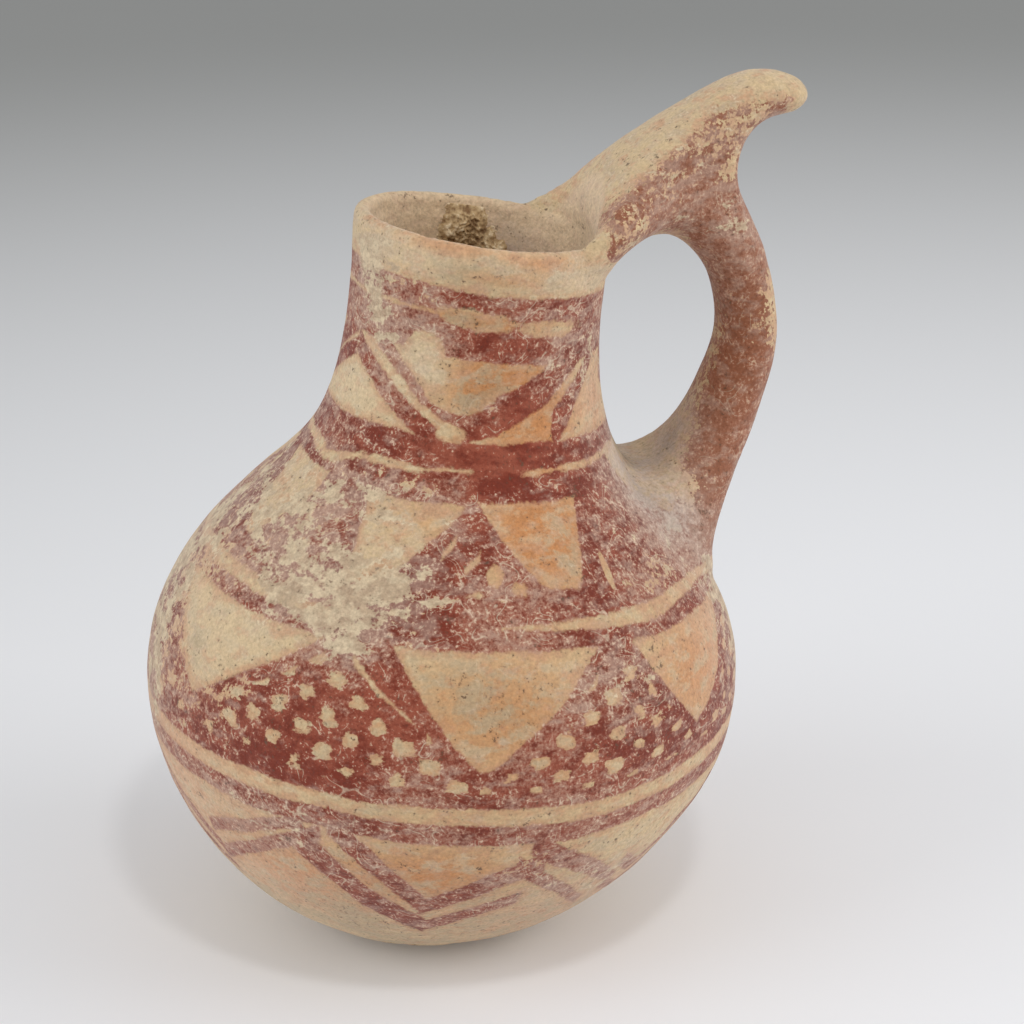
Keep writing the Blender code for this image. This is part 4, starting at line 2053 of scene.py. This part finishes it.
@dataclass(frozen=True)
class SoilCrust:
    """The lump of soil that still sticks inside the mouth, on the back wall.

    A point of its face has a girth angle and a height. Its distance from the axis is the wall's,
    less the crust's thickness: the sum of the lumps with crumbs of four sizes, less a little, so
    that its edge sinks into the wall. A plain back closes it inside the clay. The crumbs are read
    on a slanting sheet, so that the noise's cubes don't show.
    """

    wall: float = 11.25
    sunk: float = 0.5
    back: float = 0.6
    sides: Pair = (-222.0, -138.0)
    heights: Pair = (63.0, 75.5)
    columns: int = 240
    rows: int = 190
    sheet: tuple[Place, Place] = ((0.80, 0.36, 0.48), (-0.60, 0.48, 0.64))
    crumbs: tuple[Ripple, ...] = (
        Ripple(0.5, 1.3, 21), Ripple(0.5, 0.65, 22), Ripple(0.45, 0.33, 23), Ripple(0.3, 0.2, 24),
    )
    lump_share: float = 0.9
    lump_crumbs: float = 0.20
    flat_crumbs: float = 0.13
    edge: float = 0.42
    lumps: tuple[Patch, ...] = (
        Patch(-172.0, 74.2, 10.0, 1.5, 1.5),
        Patch(-164.0, 72.2, 9.0, 2.2, 1.4),
        Patch(-183.0, 71.4, 11.0, 2.4, 1.3),
        Patch(-150.0, 70.5, 5.0, 3.0, 0.5),
        Patch(-196.0, 70.2, 8.0, 2.8, 0.9),
        Patch(-208.0, 69.0, 7.0, 3.2, 0.75),
    )

    def build(self) -> bpy.types.Object:
        """Make the crust and dress it.

        Returns:
            The crust's object.
        """
        girth, height = np.meshgrid(np.linspace(*self.sides, self.columns),
                                    np.linspace(*self.heights, self.rows), indexing="ij")
        turn = np.radians(girth)
        flat = np.column_stack((turn.ravel() * self.wall, height.ravel())) @ np.array(self.sheet)
        crumb = sum(ripple.at(flat) for ripple in self.crumbs)
        face = FRAME.ring(self.wall - self.thickness(girth, height, crumb.reshape(girth.shape)),
                          turn, height)
        back = FRAME.ring(np.full_like(girth, self.wall + self.back), turn, height)
        points = FRAME.leaned(np.vstack((face.reshape(-1, 3), back.reshape(-1, 3))))
        mesh = bpy.data.meshes.new("soil_crust")
        mesh.from_pydata(points.tolist(), [], self.faces().tolist())
        crumb = np.concatenate((crumb, np.zeros_like(crumb)))
        Carried.CRUMB.write(mesh, (crumb, np.zeros_like(crumb), np.zeros_like(crumb)))
        mesh.shade_smooth()
        item = placed("soil_crust", mesh)
        mesh.materials.append(SoilFinish().material())
        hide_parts("jug")
        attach(item, "root")
        return item

    def thickness(self, girth: np.ndarray, height: np.ndarray, crumb: np.ndarray) -> np.ndarray:
        """Return how thick the crust is.

        Args:
            girth: Girth angles in degrees.
            height: Heights in millimetres.
            crumb: The crumbs' noise.

        Returns:
            Thicknesses in millimetres, below 0 where the face lies in the clay.
        """
        lumps = sum(lump.amount(girth, height) for lump in self.lumps)
        made = lumps * (self.lump_share + self.lump_crumbs * crumb)
        return np.maximum(made + self.flat_crumbs * crumb - self.edge, -self.sunk)

    def faces(self) -> np.ndarray:
        """Return the four-sided faces of the front, the back and the strip that joins them.

        Returns:
            Four point numbers a row.
        """
        number = np.arange(self.columns * self.rows).reshape(self.columns, self.rows)
        corners = (number[:-1, :-1], number[:-1, 1:], number[1:, 1:], number[1:, :-1])
        front = np.stack(corners, -1).reshape(-1, 4)
        far = front[:, ::-1] + number.size
        sides = (number[:, 0], number[-1, 1:], number[-2::-1, -1], number[0, -2:0:-1])
        edge = np.concatenate(sides)
        after = np.roll(edge, -1)
        strip = np.stack((edge, after, after + number.size, edge + number.size), -1)
        return np.vstack((front, far, strip))


@dataclass(frozen=True)
class Sweep:
    """The pale floor, which greys with distance from a point behind the jug's shadow.

    The greying is a painted pool of light and its painted falloff.
    """

    reach: float = 2.5
    rings: int = 48
    spokes: int = 96
    near: Colour = screen_colour(244, 245, 248)
    far: Coat = Coat(screen_colour(160, 161, 160), 0.02, 0.57)
    light_pool_centre: Place = (0.07, -0.03, 0.0)
    roughness: float = 0.9
    gloss: float = 0.1

    def build(self) -> bpy.types.Object:
        """Make the floor as a disc of rings: a point is a radius and an angle.

        Returns:
            The floor's object.
        """
        radius, angle = np.meshgrid(
            np.linspace(0.0, self.reach, self.rings + 1)[1:],
            np.arange(self.spokes) * math.tau / self.spokes, indexing="ij",
        )
        rim = np.stack((radius * np.cos(angle), radius * np.sin(angle), np.zeros_like(radius)), -1)
        points = np.vstack(([[0.0, 0.0, 0.0]], rim.reshape(-1, 3)))
        spoke = np.arange(self.spokes)
        after = (spoke + 1) % self.spokes
        starts = 1 + np.arange(self.rings - 1)[:, None] * self.spokes
        quads = np.stack((starts + spoke, starts + self.spokes + spoke,
                          starts + self.spokes + after, starts + after), -1).reshape(-1, 4)
        fan = np.column_stack((np.zeros(self.spokes, int), 1 + spoke, 1 + after))
        mesh = bpy.data.meshes.new("pale_floor")
        mesh.from_pydata(points.tolist(), [], fan.tolist() + quads.tolist())
        item = placed("pale_floor", mesh)
        mesh.materials.append(self.material())
        return item

    def material(self) -> bpy.types.Material:
        """Build the floor's material: a painted pool of light, pale near the jug and grey far away.

        Returns:
            The material.
        """
        graph = Graph("pale_sweep")
        # Painted pool of light: palest at one point, greyer with distance as painted falloff.
        away = graph.vector("DISTANCE", graph.own_place(), self.light_pool_centre, 1)
        graph.surface(self.far.over(graph, self.near, away), self.roughness, self.gloss)
        return graph.material


@dataclass(frozen=True)
class Lamp:
    """A square light that looks at the jug: its name, place, side and power."""

    name: str
    place: Place
    side: float
    power: float
    tint: Colour = (1.0, 1.0, 1.0)
    target: Place = (0.0, 0.0, 0.04)

    def build(self) -> None:
        """Hang the light."""
        light = bpy.data.lights.new(self.name, "AREA")
        light.shape = "SQUARE"
        light.size = self.side
        light.energy = self.power
        light.color = self.tint
        aimed(placed(self.name, light), self.place, self.target)


@dataclass(frozen=True)
class Studio:
    """Soft light from both sides and in front, and an even surround."""

    surround: float = 0.575
    lamps: tuple[Lamp, ...] = (
        Lamp("front_lamp", (0.005, -0.225, 0.385), 0.04, 0.23),
        Lamp("left_lamp", (-0.76, -0.10, 0.34), 0.60, 2.6, (0.95, 0.98, 1.0)),
        Lamp("right_lamp", (0.76, -0.28, 0.36), 0.60, 3.05),
    )

    def build(self) -> None:
        """Make the surround and the lights, and show the colours as they are."""
        world = bpy.data.worlds.new("even_surround")
        world.use_nodes = True
        ground = world.node_tree.nodes["Background"]
        ground.inputs["Color"].default_value = (1.0, 1.0, 1.0, 1.0)
        ground.inputs["Strength"].default_value = self.surround
        bpy.context.scene.world = world
        for lamp in self.lamps:
            lamp.build()
        bpy.context.scene.view_settings.view_transform = "Standard"


@dataclass(frozen=True)
class Viewpoint:
    """The camera, a little above and in front of the jug."""

    place: Place = (-0.05465, -0.23788, 0.13685)
    target: Place = (0.00829, -0.00300, 0.04482)
    lens: float = 89.5
    sensor: float = 36.0
    nearest: float = 0.01

    def build(self) -> None:
        """Make the camera."""
        camera = bpy.data.cameras.new("viewpoint")
        camera.lens = self.lens
        camera.sensor_width = self.sensor
        camera.sensor_fit = "HORIZONTAL"
        camera.clip_start = self.nearest
        item = placed("viewpoint", camera)
        aimed(item, self.place, self.target)
        bpy.context.scene.camera = item


def main() -> None:
    """Build the camera, the stage, the light and the jug."""
    logging.basicConfig(level=logging.INFO, format="%(message)s")
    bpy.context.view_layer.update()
    Viewpoint().build()
    Sweep().build()
    Studio().build()
    for piece in (JugBody().build(), SoilCrust().build()):
        LOG.info("%s: %d faces", piece.name, len(piece.data.polygons))


if __name__ == "__main__":
    main()
